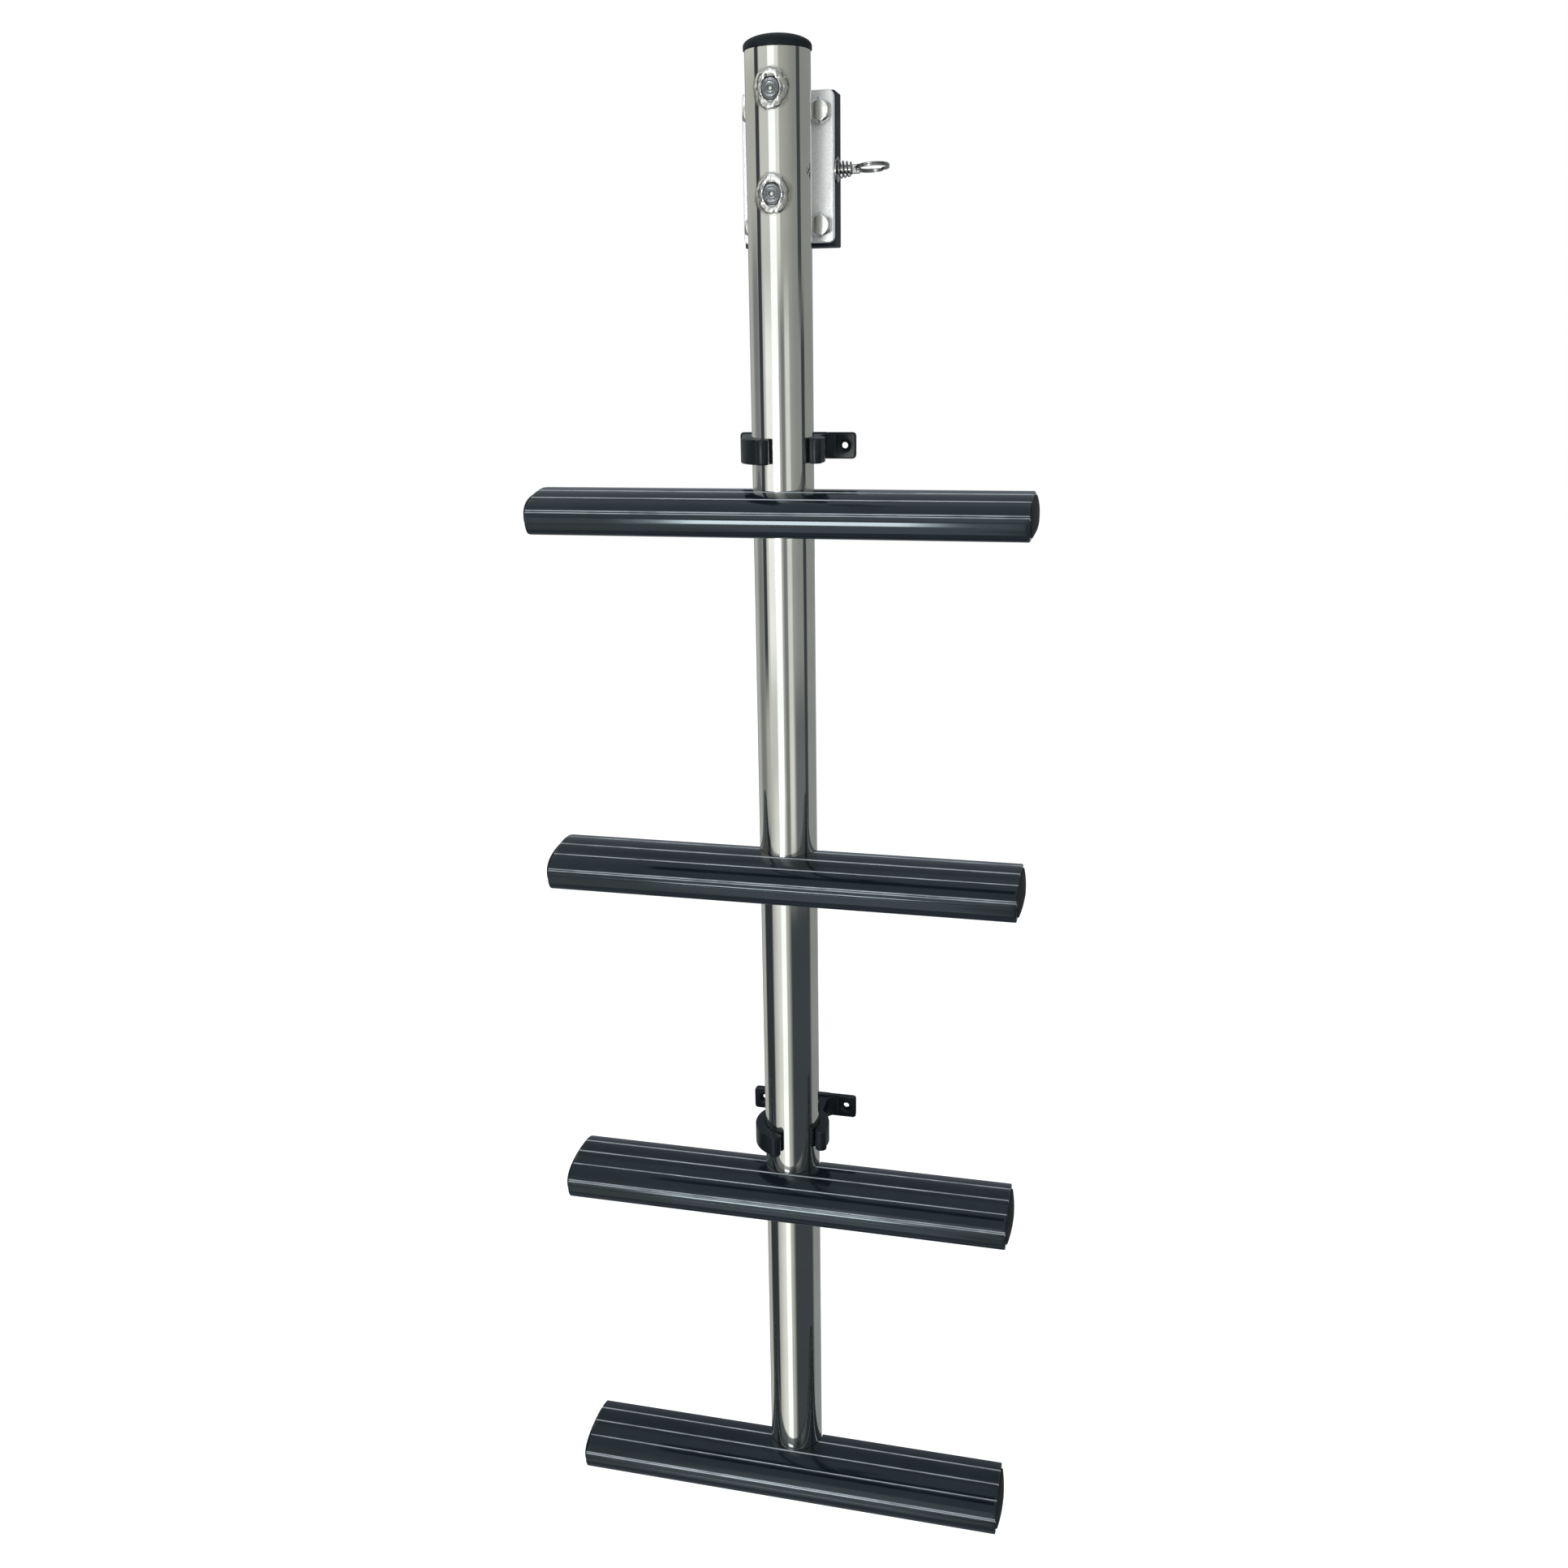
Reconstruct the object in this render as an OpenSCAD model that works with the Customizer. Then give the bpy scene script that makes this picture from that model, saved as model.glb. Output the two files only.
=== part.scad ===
// Slide-mount boarding ladder: one centre tube, four treads, a transom
// bracket with a lock pin, and two storage clips on the tube.
// Frame: +Z up along the tube, +X to the right along the treads, +Y into
// the boat. The origin is the middle of the bracket's transom face.

/* [Tube] */
// Outside diameter of the centre tube
tube_od = 38.1; // [34:0.1:42]
// Wall of the centre tube
tube_wall = 1.65; // [1.2:0.05:2.5]
// Tube above the upper stud's axis
tube_head = 22; // [14:0.5:40]
// Tube below the underside of the lowest tread
tube_foot = 8; // [4:0.5:20]
// Rim of the end plugs past the tube's surface
plug_lip = 0.75; // [0.3:0.05:1.5]
// Thickness of the end plugs' rim
plug_rim = 2.2; // [1:0.1:3]
// Height of the end plugs' dome over the rim
plug_dome = 6.4; // [3:0.1:8]
// Depth of the end plugs inside the tube
plug_depth = 14; // [8:1:20]
// Gap between the foot plug and the lowest crossbar, at the least
plug_gap = 1; // [0.5:0.1:3]
// Wall of the end plugs' hollow skirt
plug_wall = 2; // [1.2:0.1:4]

/* [Treads] */
// Length of a tread without its end caps
tread_length = 310; // [240:1:380]
// Distance from one tread to the next
tread_pitch = 236; // [200:1:300]
// From the lower stud's axis down to the first tread's nose line
tread_hang = 183.5; // [160:0.5:240]
// Reach of the nose line in front of the tube's axis
tread_reach = 44.8; // [40:0.1:52]
// Crown of the tread above its nose line
tread_rise = 15.7; // [14.5:0.1:18]
// Crown's highest line in front of the tube's axis
crown_peak = 10; // [8:0.5:14]
// Fall of the crown from there to the tread's back
crown_fall = 3; // [1:0.1:4]
// Underside of the tread below its nose line
tread_drop = 11; // [9.5:0.5:14]
// Back face of the tread behind the tube's axis
tread_back = 5; // [2:0.1:7]
// Wall of the tread's hollow front chamber
tread_wall = 2.4; // [1.6:0.1:3]
// Set-back of the underside's front edge from the nose line
tread_tuck = 6.1; // [4:0.1:8]
// Distances of the three upper grip grooves in front of the tube's axis
groove_at = [6.8, 20.2, 32.6];
// Set-back of the lowest grip groove from the nose line
nose_groove = 1.5; // [1:0.1:3]
// Width of a grip groove with its rounded shoulders
groove_w = 2.6; // [1.6:0.1:3]
// Depth of a grip groove
groove_d = 0.9; // [0.4:0.1:1.2]
// Depth of the flat band between the lowest groove and the nose
band_d = 0.5; // [0.2:0.1:0.8]
// Radius of the tread's top edge at the back
tread_round = 1.2; // [0.5:0.1:2]
// Gap between a tread's notch and the tube
notch_gap = 0.3; // [0.2:0.05:0.8]

/* [Crossbars] */
// Outside diameter of the bar inside a tread
bar_od = 16; // [14:0.5:17]
// Wall of that bar
bar_wall = 1.6; // [1:0.1:3]
// Bar's axis in front of the tube's axis
bar_ahead = 7.5; // [6.5:0.1:8.5]
// Bar's axis above the nose line
bar_up = 2.2; // [1.5:0.1:3]
// Gap between the bar and the tread's round seat
seat_gap = 0.1; // [0.05:0.01:0.3]
// Height of the slit at the back that the tread snaps on through
snap_slit = 12.6; // [10:0.2:13.4]
// Distance of the bar's ends from the tread's ends
bar_short = 14; // [5:1:30]
// Distance of the tread screws from the tube's axis
screw_x = 100; // [60:1:110]
// Diameter of a tread screw
screw_d = 4; // [3:0.1:5]
// Diameter of a tread screw's head
screw_head_d = 7.6; // [6:0.1:9]
// Height of a tread screw's head
screw_head_h = 1.8; // [1.2:0.1:2.4]
// Length of a tread screw under its head
screw_len = 6.6; // [5:0.1:8]

/* [End caps] */
// Bulge of an end cap past the tread's end
cap_bulge = 3.8; // [3:0.1:6]
// Straight edge of an end cap before its dome
cap_edge = 1; // [0.6:0.1:2.4]
// Set-in of an end cap from the tread's outline
cap_inset = 2; // [1.6:0.1:2.2]
// Radius of the corners of an end cap's outline
cap_round = 6; // [4:0.5:7]
// Depth of an end cap's plug in the front chamber
cap_plug = 10; // [5:0.5:14]
// Gap between that plug and the chamber
cap_fit = 0.2; // [0.1:0.05:0.5]

/* [Studs] */
// Diameter of a hanging stud
stud_d = 12.7; // [10:0.1:14]
// Distance between the two studs
stud_pitch = 55.5; // [50:0.5:60]
// Diameter of a stud's head
stud_head_d = 22; // [19:0.5:23]
// Thickness of a stud's head
stud_head_t = 7; // [5:0.5:8]
// Stand-out of a stud's end at the tube's front
stud_proud = 0.4; // [0.1:0.1:1]
// Running gap round a stud in its slot
stud_gap = 0.3; // [0.2:0.05:0.5]
// Outside radius of a weld round a stud's end
weld_r = 11.4; // [9:0.1:13]
// Height of a weld over the tube's surface
weld_h = 0.9; // [0.4:0.1:1.5]

/* [Bracket] */
// Width of the bracket
block_w = 56; // [52:1:64]
// Height of the bracket's block
block_h = 86.5; // [84:0.5:100]
// Depth of the bracket's block
block_d = 18; // [17:0.5:24]
// Depth of the channel for the stud heads
channel_d = 8; // [7.6:0.1:9]
// Thickness of the front plate
plate_t = 3; // [2:0.1:4]
// Set-up of the plate's lower edge from the block's
plate_short = 2; // [0.5:0.5:3]
// Radius of the plate's lower corners
plate_corner = 4; // [2:0.5:5]
// Gap between the plate and the tube
tube_gap = 3.95; // [3:0.05:8]
// Distance of the lower stud below the lock pin
stud_below_pin = 16.7; // [16.4:0.1:18]

/* [Bolts] */
// Diameter of a transom bolt in the bracket
bolt_d = 8; // [6:0.5:9]
// Diameter of a plain stand-in for the bolt's thread
thread_d = 7.6; // [5.6:0.1:8.6]
// Distance between the bolts across the bracket
bolt_x = 40; // [38:0.5:42]
// Distance between the bolts up the bracket
bolt_z = 63; // [56:0.5:66]
// Width across the flats of a bolt's head
bolt_af = 13; // [11:0.5:13]
// Height of a bolt's head
bolt_head = 5.3; // [4:0.1:6.5]
// Length of a bolt standing out of the transom face
bolt_out = 17; // [10:1:60]
// Gap round a bolt in its hole
bolt_gap = 0.15; // [0.1:0.05:0.4]

/* [Lock pin] */
// Diameter of the lock pin in its bore
pin_d = 6; // [5:0.1:6.4]
// Running gap round the pin, on the radius
pin_gap = 0.05; // [0.02:0.01:0.1]
// Distance of the pin's axis from the transom face
pin_depth = 13.5; // [13:0.1:14.2]
// Distance of the pin's tip from the bracket's middle
pin_tip = 7.5; // [6:0.1:8]
// Diameter of the pin's stem outside the bracket
stem_d = 5; // [4:0.1:5.6]
// Length of the round stem past the bracket
stem_len = 9.9; // [9.9:0.1:13]
// Diameter of the pin's eye end
eye_d = 5.4; // [5:0.1:6]
// Length of the pin's eye end
eye_len = 4.8; // [4.4:0.1:7]
// Thickness of the eye between its flats
eye_t = 3.2; // [2.6:0.1:3.6]
// Clearance of the pull ring in the eye's hole
ring_fit = 0.1; // [0.06:0.02:0.3]
// Distance of the eye's hole from the end of the round stem
eye_at = 2.1; // [1.8:0.1:2.4]
// Diameter of the washer
washer_d = 14.4; // [12:0.1:16]
// Thickness of the washer
washer_t = 1; // [0.6:0.1:1.6]
// Gap of the washer to the bracket's side and to the stem
washer_gap = 0.1; // [0.05:0.01:0.3]

/* [Spring] */
// Wire of the spring
spring_wire = 1; // [0.7:0.1:1.1]
// Outside diameter of the spring at the washer
spring_big = 10.8; // [9:0.1:12]
// Outside diameter of the spring at the eye
spring_small = 8.3; // [7.9:0.1:9]
// Number of turns
spring_turns = 3.75; // [3:0.25:4]

/* [Pull ring] */
// Outside diameter of the pull ring
ring_od = 20.6; // [18:0.2:26]
// Wire of the ring, which lies in two turns
ring_wire = 1.2; // [0.9:0.05:1.3]
// Roll of the ring in the pin's eye, its front edge upwards
ring_roll = 5; // [0:0.5:8]
// Lean of the ring at rest, its far end upwards
ring_lean = 4; // [0:0.5:10]

/* [Clips] */
// Height of a clip's jaw
clip_h = 15; // [12:0.2:24]
// Height of a clip's ears
ear_h = 16.6; // [11:0.2:20]
// Wall of the jaw round the tube
jaw_wall = 6.9; // [5:0.1:8]
// Gap between the jaw and the tube, on the radius
jaw_gap = 0.1; // [0.05:0.01:0.1]
// Opening of the jaw
jaw_open = 90; // [60:1:96]
// Turn of the opening towards +X from straight ahead
jaw_aim = 26; // [0:1:30]
// Diameter of the rolled lips at the jaw's ends
lip_d = 8; // [7.4:0.1:9]
// Half the width of the neck behind the jaw
neck_half = 18; // [12:0.5:20]
// Radius between the neck and the ears
neck_fillet = 7; // [2:0.5:8]
// Width over the ears
ear_span = 76; // [72:1:90]
// Thickness of an ear
ear_t = 4; // [3:0.2:6]
// Radius of an ear's corners
ear_corner = 2; // [1:0.5:4]
// Distance between the two screw holes
ear_holes = 61; // [59:0.5:64]
// Diameter of a screw hole
ear_hole_d = 4; // [3.5:0.1:5.5]
// Diameter of a screw hole's countersink
ear_sink_d = 7.4; // [6:0.1:9.5]
// Clip's middle above the nose line of the tread below it
clip_up = 38.5; // [36:0.5:80]

/* [Hidden] */
$fn = 64;
eps = 0.01;
tube_r = tube_od / 2;
bore_r = tube_r - tube_wall;
tube_y = -(block_d + plate_t + tube_gap + tube_r);
lower_z = -stud_below_pin;
upper_z = lower_z + stud_pitch;
tread_z = [for (i = [0:3]) lower_z - tread_hang - i * tread_pitch];
tube_top = upper_z + tube_head;
tube_bottom = tread_z[3] - tread_drop - tube_foot;
foot_depth = min(plug_depth, tread_z[3] + bar_up - bar_od / 2 - plug_gap - tube_bottom);
side_x = block_w / 2;
stem_x = side_x + washer_gap;
eye_x = stem_x + stem_len;
ring_x = eye_x + eye_at;
ring_r = (ring_od - ring_wire) / 2;
ring_half = ring_wire * 0.48;
ring_sag = ring_r - sqrt(pow(ring_r, 2) - pow(eye_t / 2, 2));
eye_hole_r = norm([ring_sag, ring_half + eye_t / 2 * tan(ring_roll)]) + ring_wire / 2 + ring_fit;
jaw_in = tube_r + jaw_gap;
jaw_r = jaw_in + jaw_wall;

// ---- shared shapes --------------------------------------------------

// A cylinder along +X, and one along +Y, from their start point.
module along_x(r, h) { rotate([0, 90, 0]) cylinder(r = r, h = h); }
module along_y(r, h) { rotate([-90, 0, 0]) cylinder(r = r, h = h); }

// A rectangle with round corners, centred, made of true arcs.
module round_rect(w, h, r) {
    square([w - 2 * r, h], center = true);
    square([w, h - 2 * r], center = true);
    for (x = [-1, 1], y = [-1, 1])
        translate([x * (w / 2 - r), y * (h / 2 - r)]) circle(r = r);
}

// A point on the circle of radius r, turned a degrees from -Y towards +X.
function round_tube(r, a) = [r * sin(a), -r * cos(a)];

// ---- tube and its plugs ---------------------------------------------

module main_tube() {
    color("silver")
    difference() {
        translate([0, tube_y, tube_bottom])
            cylinder(r = tube_r, h = tube_top - tube_bottom);
        translate([0, tube_y, tube_bottom - 1])
            cylinder(r = bore_r, h = tube_top - tube_bottom + 2);
        for (z = [lower_z, upper_z])
            translate([0, tube_y - tube_od, z])
                along_y(stud_d / 2, 2 * tube_od);
        for (z = tread_z)
            translate([-tube_od, tube_y - bar_ahead, z + bar_up])
                along_x(bar_od / 2, 2 * tube_od);
    }
}

// A domed plug whose rim rests on the tube's end at z = 0. The dome is a
// quarter of an ellipse, turned round the tube's axis.
module end_plug(depth) {
    rim = tube_r + plug_lip;
    color("dimgray")
    difference() {
        union() {
            rotate_extrude() polygon(concat([[0, 0], [rim, 0]],
                [for (w = [0:10:90])
                    [rim * cos(w), plug_rim + plug_dome * sin(w)]]));
            translate([0, 0, -depth])
                cylinder(r = bore_r - seat_gap / 2, h = depth + eps);
        }
        translate([0, 0, -depth - 1])
            cylinder(r = bore_r - plug_wall, h = depth + 1);
    }
}

module top_plug() { translate([0, tube_y, tube_top]) end_plug(plug_depth); }

module foot_plug() {
    translate([0, tube_y, tube_bottom]) mirror([0, 0, 1]) end_plug(foot_depth);
}

// ---- treads ----------------------------------------------------------

// The crown as a point and an outward normal at an angle q, from -60 at the
// back edge past 0 at its highest line to 90 at the nose line. Travel is in
// mm per degree.
crown_front = tread_reach - crown_peak;
crown_rear = tread_back + crown_peak;
function crown_q(a) = a < crown_peak
    ? -60 * (crown_peak - a) / crown_rear
    : asin(pow((a - crown_peak) / crown_front, 0.95));
function crown_point(q) = q < 0
    ? [crown_peak + crown_rear * q / 60, tread_rise - crown_fall * q * q / 3600]
    : [crown_peak + crown_front * pow(sin(q), 1 / 0.95),
       tread_rise * pow(cos(q), 1 / 0.95)];
function crown_step(q) = crown_point(q + 0.5) - crown_point(q - 0.5);
function crown_travel(q) = norm(crown_step(q));
function crown_out(q) = let (t = crown_step(q)) [-t[1], t[0]] / norm(t);

// The tread's outline as [forward, up] points, shrunk on all sides by d.
function tread_outline(d) = concat(
    [[-tread_back + d, -tread_drop + d]],
    [[-tread_back + d, crown_point(-60)[1] - d * 0.8]],
    [for (q = [-45:15:0]) crown_point(q) - d * crown_out(q)],
    [for (q = [6:6:84]) crown_point(q) - d * crown_out(q)],
    [[tread_reach - d, 0],
     [tread_reach - d, -tread_drop * 0.3],
     [tread_reach - tread_tuck * 0.16 - d, -tread_drop * 0.6],
     [tread_reach - tread_tuck * 0.5 - d, -tread_drop * 0.88 + d * 0.8],
     [tread_reach - tread_tuck - d * 0.6, -tread_drop + d]]);

// One groove across the crown: a sharp bottom between rounded shoulders.
// s runs from -1 to 1 over its width, and rest is the depth past its front.
function groove_points(q, rest) = [for (s = [-1, -0.6, -0.3, -0.1, 0, 0.1, 0.3, 0.6, 1])
    let (p = q + s * groove_w / 2 / crown_travel(q),
         back_to = s > 0 ? rest : 0,
         d = back_to + (groove_d - back_to) * (1 - sin(90 * abs(s))))
    crown_point(p) - d * crown_out(p)];
grooves_q = concat([for (a = groove_at) crown_q(a)], [crown_q(tread_reach - nose_groove)]);

// Where the rounded edge at the tread's back runs out on the crown.
back_top = crown_point(crown_q(-tread_back + tread_round * (1 - cos(66))));

// The tread's outside, with its grooves and the flat band over the nose.
function tread_skin() = concat(
    [[-tread_back, -tread_drop]],
    [for (k = [0:3]) let (w = 22 * k)
        [-tread_back + tread_round * (1 - cos(w)),
         back_top[1] + tread_round * (sin(w) - sin(66))]],
    [for (i = [0:3]) let (q = grooves_q[i], last = i > 0 ? grooves_q[i - 1] : -56)
        each concat(
            [for (t = [0.3, 0.5, 0.7]) crown_point(last + (q - last) * t)],
            groove_points(q, i == 3 ? band_d : 0))],
    [[tread_reach - band_d, 1],
     [tread_reach - band_d * 0.3, 0.7],
     [tread_reach, 0.2],
     [tread_reach, -tread_drop * 0.3],
     [tread_reach - tread_tuck * 0.16, -tread_drop * 0.6],
     [tread_reach - tread_tuck * 0.5, -tread_drop * 0.88],
     [tread_reach - tread_tuck, -tread_drop]]);

// Hollow front chamber of the tread, shrunk further by d.
module chamber(d) {
    w = tread_wall + d;
    back = tube_r + notch_gap + tread_wall + d;
    intersection() {
        polygon(tread_outline(w));
        translate([back, -tread_drop]) square([tread_reach, tread_rise + tread_drop]);
    }
}

// Turns a [forward, up] shape into a bar of length h along +X.
module along_tread(h) {
    rotate([90, 0, 90]) linear_extrude(height = h) mirror([1, 0]) children();
}

module tread(z) {
    color([0.13, 0.14, 0.16])
    translate([0, tube_y, z])
    difference() {
        translate([-tread_length / 2, 0, 0]) along_tread(tread_length)
        difference() {
            polygon(tread_skin());
            chamber(0);
            translate([bar_ahead, bar_up]) circle(r = bar_od / 2 + seat_gap);
            translate([-tread_back - 1, bar_up - snap_slit / 2])
                square([bar_ahead + tread_back + 1, snap_slit]);
        }
        translate([0, 0, -tread_drop - 1])
            cylinder(r = tube_r + notch_gap, h = tread_drop + tread_rise + 2);
        translate([-tube_r - notch_gap, 0, -tread_drop - 1])
            cube([2 * (tube_r + notch_gap), tread_back + 1,
                  tread_drop + tread_rise + 2]);
        for (x = [-screw_x, screw_x]) translate([x, -bar_ahead, -tread_drop]) {
            cylinder(r = screw_d / 2 + seat_gap / 2, h = tread_drop);
            translate([0, 0, -1])
                cylinder(r = screw_head_d / 2 + seat_gap, h = screw_head_h + 1);
        }
    }
}

module tread_1() { tread(tread_z[0]); }
module tread_2() { tread(tread_z[1]); }
module tread_3() { tread(tread_z[2]); }
module tread_4() { tread(tread_z[3]); }

module crossbar(z) {
    len = tread_length - 2 * bar_short;
    color("lightgray")
    translate([-len / 2, tube_y - bar_ahead, z + bar_up])
    difference() {
        along_x(bar_od / 2, len);
        translate([-1, 0, 0]) along_x(bar_od / 2 - bar_wall, len + 2);
        for (x = [-screw_x, screw_x])
            translate([len / 2 + x, 0, -bar_od / 2 - 1])
                cylinder(r = screw_d / 2 + seat_gap / 4, h = bar_od / 2 + 1);
    }
}

module crossbar_1() { crossbar(tread_z[0]); }
module crossbar_2() { crossbar(tread_z[1]); }
module crossbar_3() { crossbar(tread_z[2]); }
module crossbar_4() { crossbar(tread_z[3]); }

module tread_screws() {
    color("silver")
    for (z = tread_z, x = [-screw_x, screw_x])
        translate([x, tube_y - bar_ahead, z - tread_drop]) {
            difference() {
                cylinder(r = screw_head_d / 2, h = screw_head_h);
                for (a = [0, 90]) rotate(a) translate([-2, -0.4, -eps])
                    cube([4, 0.8, 1]);
            }
            translate([0, 0, screw_head_h - eps])
                cylinder(r = screw_d / 2, h = screw_len);
        }
}

// The end cap's outline: the tread's, set in and with round corners.
module cap_outline() {
    offset(r = cap_round, $fn = 24)
        offset(delta = -cap_inset - cap_round) polygon(tread_outline(0));
}

// An end cap on the tread's end at x = 0, bulging towards +X like a lens.
module end_cap() {
    mid = [(tread_reach - tread_back) / 2, (tread_rise - tread_drop) / 2];
    color([0.08, 0.08, 0.09])
    hull() for (k = [1, 0.88, 0.74, 0.56, 0.32])
        along_tread(cap_edge + (cap_bulge - cap_edge) * (1 - k * k))
            translate(mid) scale(k) translate(-mid) cap_outline();
    color([0.08, 0.08, 0.09])
    translate([-cap_plug, 0, 0]) along_tread(cap_plug + eps) chamber(cap_fit);
}

module right_cap(z) { translate([tread_length / 2, tube_y, z]) end_cap(); }
module left_cap(z) {
    translate([-tread_length / 2, tube_y, z]) mirror([1, 0, 0]) end_cap();
}

module left_cap_1() { left_cap(tread_z[0]); }
module left_cap_2() { left_cap(tread_z[1]); }
module left_cap_3() { left_cap(tread_z[2]); }
module left_cap_4() { left_cap(tread_z[3]); }
module right_cap_1() { right_cap(tread_z[0]); }
module right_cap_2() { right_cap(tread_z[1]); }
module right_cap_3() { right_cap(tread_z[2]); }
module right_cap_4() { right_cap(tread_z[3]); }

// ---- studs and their welds -------------------------------------------

// Rod through the tube, with its head behind the bracket's front plate.
module stud(z) {
    front = tube_y - tube_r - stud_proud;
    head = -block_d + (channel_d - stud_head_t) / 2;
    color("gray")
    translate([0, 0, z])
    difference() {
        union() {
            translate([0, front, 0]) along_y(stud_d / 2, head - front + eps);
            translate([0, head, 0]) along_y(stud_head_d / 2, stud_head_t);
        }
        translate([0, front - eps, 0]) rotate([-90, 0, 0])
            cylinder(r1 = 1.6, r2 = 0.1, h = 1.4);
    }
}

module upper_stud() { stud(upper_z); }
module lower_stud() { stud(lower_z); }

// A low bead on the tube's surface, round both ends of each stud.
module stud_welds() {
    color("gainsboro")
    for (z = [lower_z, upper_z], side = [0, 180])
        translate([0, tube_y, z]) rotate(side)
        difference() {
            intersection() {
                translate([0, -tube_od, 0]) along_y(weld_r, tube_od);
                translate([0, 0, -weld_r]) cylinder(r = tube_r + weld_h, h = 2 * weld_r);
            }
            translate([0, 0, -weld_r - 1]) cylinder(r = tube_r, h = 2 * weld_r + 2);
            translate([0, -tube_od, 0]) along_y(stud_d / 2, tube_od);
        }
}

// ---- transom bracket -------------------------------------------------

// Upright slot, open at the top, whose round foot seats a stud.
module slot(r, y0, y1) {
    translate([0, y0, lower_z]) along_y(r, y1 - y0);
    translate([-r, y0, lower_z]) cube([2 * r, y1 - y0, block_h]);
}

module at_bolts() {
    for (x = [-1, 1], z = [-1, 1]) translate([x * bolt_x / 2, 0, z * bolt_z / 2])
        children();
}

module bracket_block() {
    color([0.16, 0.17, 0.19])
    difference() {
        translate([-side_x, -block_d, -block_h / 2]) cube([block_w, block_d, block_h]);
        slot(stud_head_d / 2 + stud_gap, -block_d - 1, -block_d + channel_d);
        at_bolts() translate([0, -block_d - 1, 0])
            along_y(bolt_d / 2 + bolt_gap, block_d + 2);
        translate([0, -pin_depth, 0]) along_x(pin_d / 2 + pin_gap, side_x + 1);
    }
}

module bracket_plate() {
    h = block_h - plate_short;
    color("gainsboro")
    difference() {
        translate([0, -block_d, plate_short / 2]) rotate([90, 0, 0])
            linear_extrude(height = plate_t) round_rect(block_w, h, plate_corner);
        slot(stud_d / 2 + stud_gap, -block_d - plate_t - 1, -block_d + 1);
        at_bolts() translate([0, -block_d - plate_t - 1, 0])
            along_y(bolt_d / 2 + bolt_gap, plate_t + 2);
    }
}

// Hexagon bolts, heads on the plate and shanks out through the transom.
module bracket_bolts() {
    seat = -block_d - plate_t;
    tip = thread_d / 10;
    color("silver")
    at_bolts() {
        intersection() {
            translate([0, seat, 0]) rotate([90, 30, 0])
                cylinder(r = bolt_af / sqrt(3), h = bolt_head, $fn = 6);
            translate([0, seat - bolt_head, 0]) rotate([-90, 0, 0])
                cylinder(r1 = bolt_af * 0.47, r2 = bolt_af * 0.47 + bolt_head * 1.5,
                         h = bolt_head + 1);
        }
        translate([0, seat - eps, 0]) along_y(bolt_d / 2, eps - seat);
        translate([0, -eps, 0]) along_y(thread_d / 2, bolt_out - tip + eps);
        translate([0, bolt_out - tip, 0]) rotate([-90, 0, 0])
            cylinder(r1 = thread_d / 2, r2 = thread_d / 2 - tip, h = tip);
    }
}

// ---- lock pin --------------------------------------------------------

// Shaft from the channel out to the washer, a thinner stem, and an eye.
module lock_pin() {
    nose = pin_d / 6;
    color("silver")
    translate([0, -pin_depth, 0])
    difference() {
        union() {
            translate([pin_tip, 0, 0]) rotate([0, 90, 0])
                cylinder(r1 = pin_d / 2 - nose, r2 = pin_d / 2, h = nose);
            translate([pin_tip + nose, 0, 0])
                along_x(pin_d / 2, stem_x - pin_tip - nose);
            translate([stem_x - eps, 0, 0]) along_x(stem_d / 2, stem_len + 2 * eps);
            intersection() {
                translate([eye_x, 0, 0]) along_x(eye_d / 2, eye_len);
                translate([eye_x - 1, -eye_t / 2, -eye_d])
                    cube([eye_len + 2, eye_t, 2 * eye_d]);
                translate([eye_x + eye_len - eye_d * 0.9, 0, 0]) sphere(r = eye_d * 0.9);
            }
        }
        translate([ring_x, -eye_d, 0]) along_y(eye_hole_r, 2 * eye_d);
    }
}

module pin_washer() {
    color("gainsboro")
    translate([stem_x, -pin_depth, 0])
    difference() {
        along_x(washer_d / 2, washer_t);
        translate([-1, 0, 0]) along_x(stem_d / 2 + washer_gap, washer_t + 2);
    }
}

// Conical spring: one wire, wound round the stem from the washer to the
// eye. Both ends turn inwards and run straight to the stem.
coil_a = stem_x + washer_t + 0.1 + spring_wire / 2;
coil_b = eye_x - spring_wire * 0.6;
coil_n = round(8 * spring_turns);
function coil_r(s) =
    let (a = (spring_big - spring_wire) / 2, b = (spring_small - spring_wire) / 2)
    a + (b - a) * s;
function coil_point(s, r) =
    let (w = 360 * spring_turns * s)
    [coil_a + (coil_b - coil_a) * s, r * cos(w), r * sin(w)];
coil_path = concat(
    [for (k = [0:2]) coil_point(0, stem_d / 2 + 0.03 + k * spring_wire * 0.5)],
    [coil_point(0.008, coil_r(0) - spring_wire * 0.35)],
    [for (i = [1:coil_n - 1]) coil_point(i / coil_n, coil_r(i / coil_n))],
    [coil_point(0.992, coil_r(1) - spring_wire * 0.35)],
    [for (k = [1:-1:0]) coil_point(1, stem_d / 2 + 0.03 + k * spring_wire * 0.5)]);

function unit(v) = v / norm(v);

// Rings of six points square to the path; the wire leans on the X axis.
function wire_rings(path, r) = [for (i = [0:len(path) - 1])
    let (t = unit(path[min(i + 1, len(path) - 1)] - path[max(i - 1, 0)]),
         u = unit([1, 0, 0] - t * t[0]), v = cross(t, u))
    [for (k = [0:5]) path[i] + r * (cos(60 * k) * u + sin(60 * k) * v)]];

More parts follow.
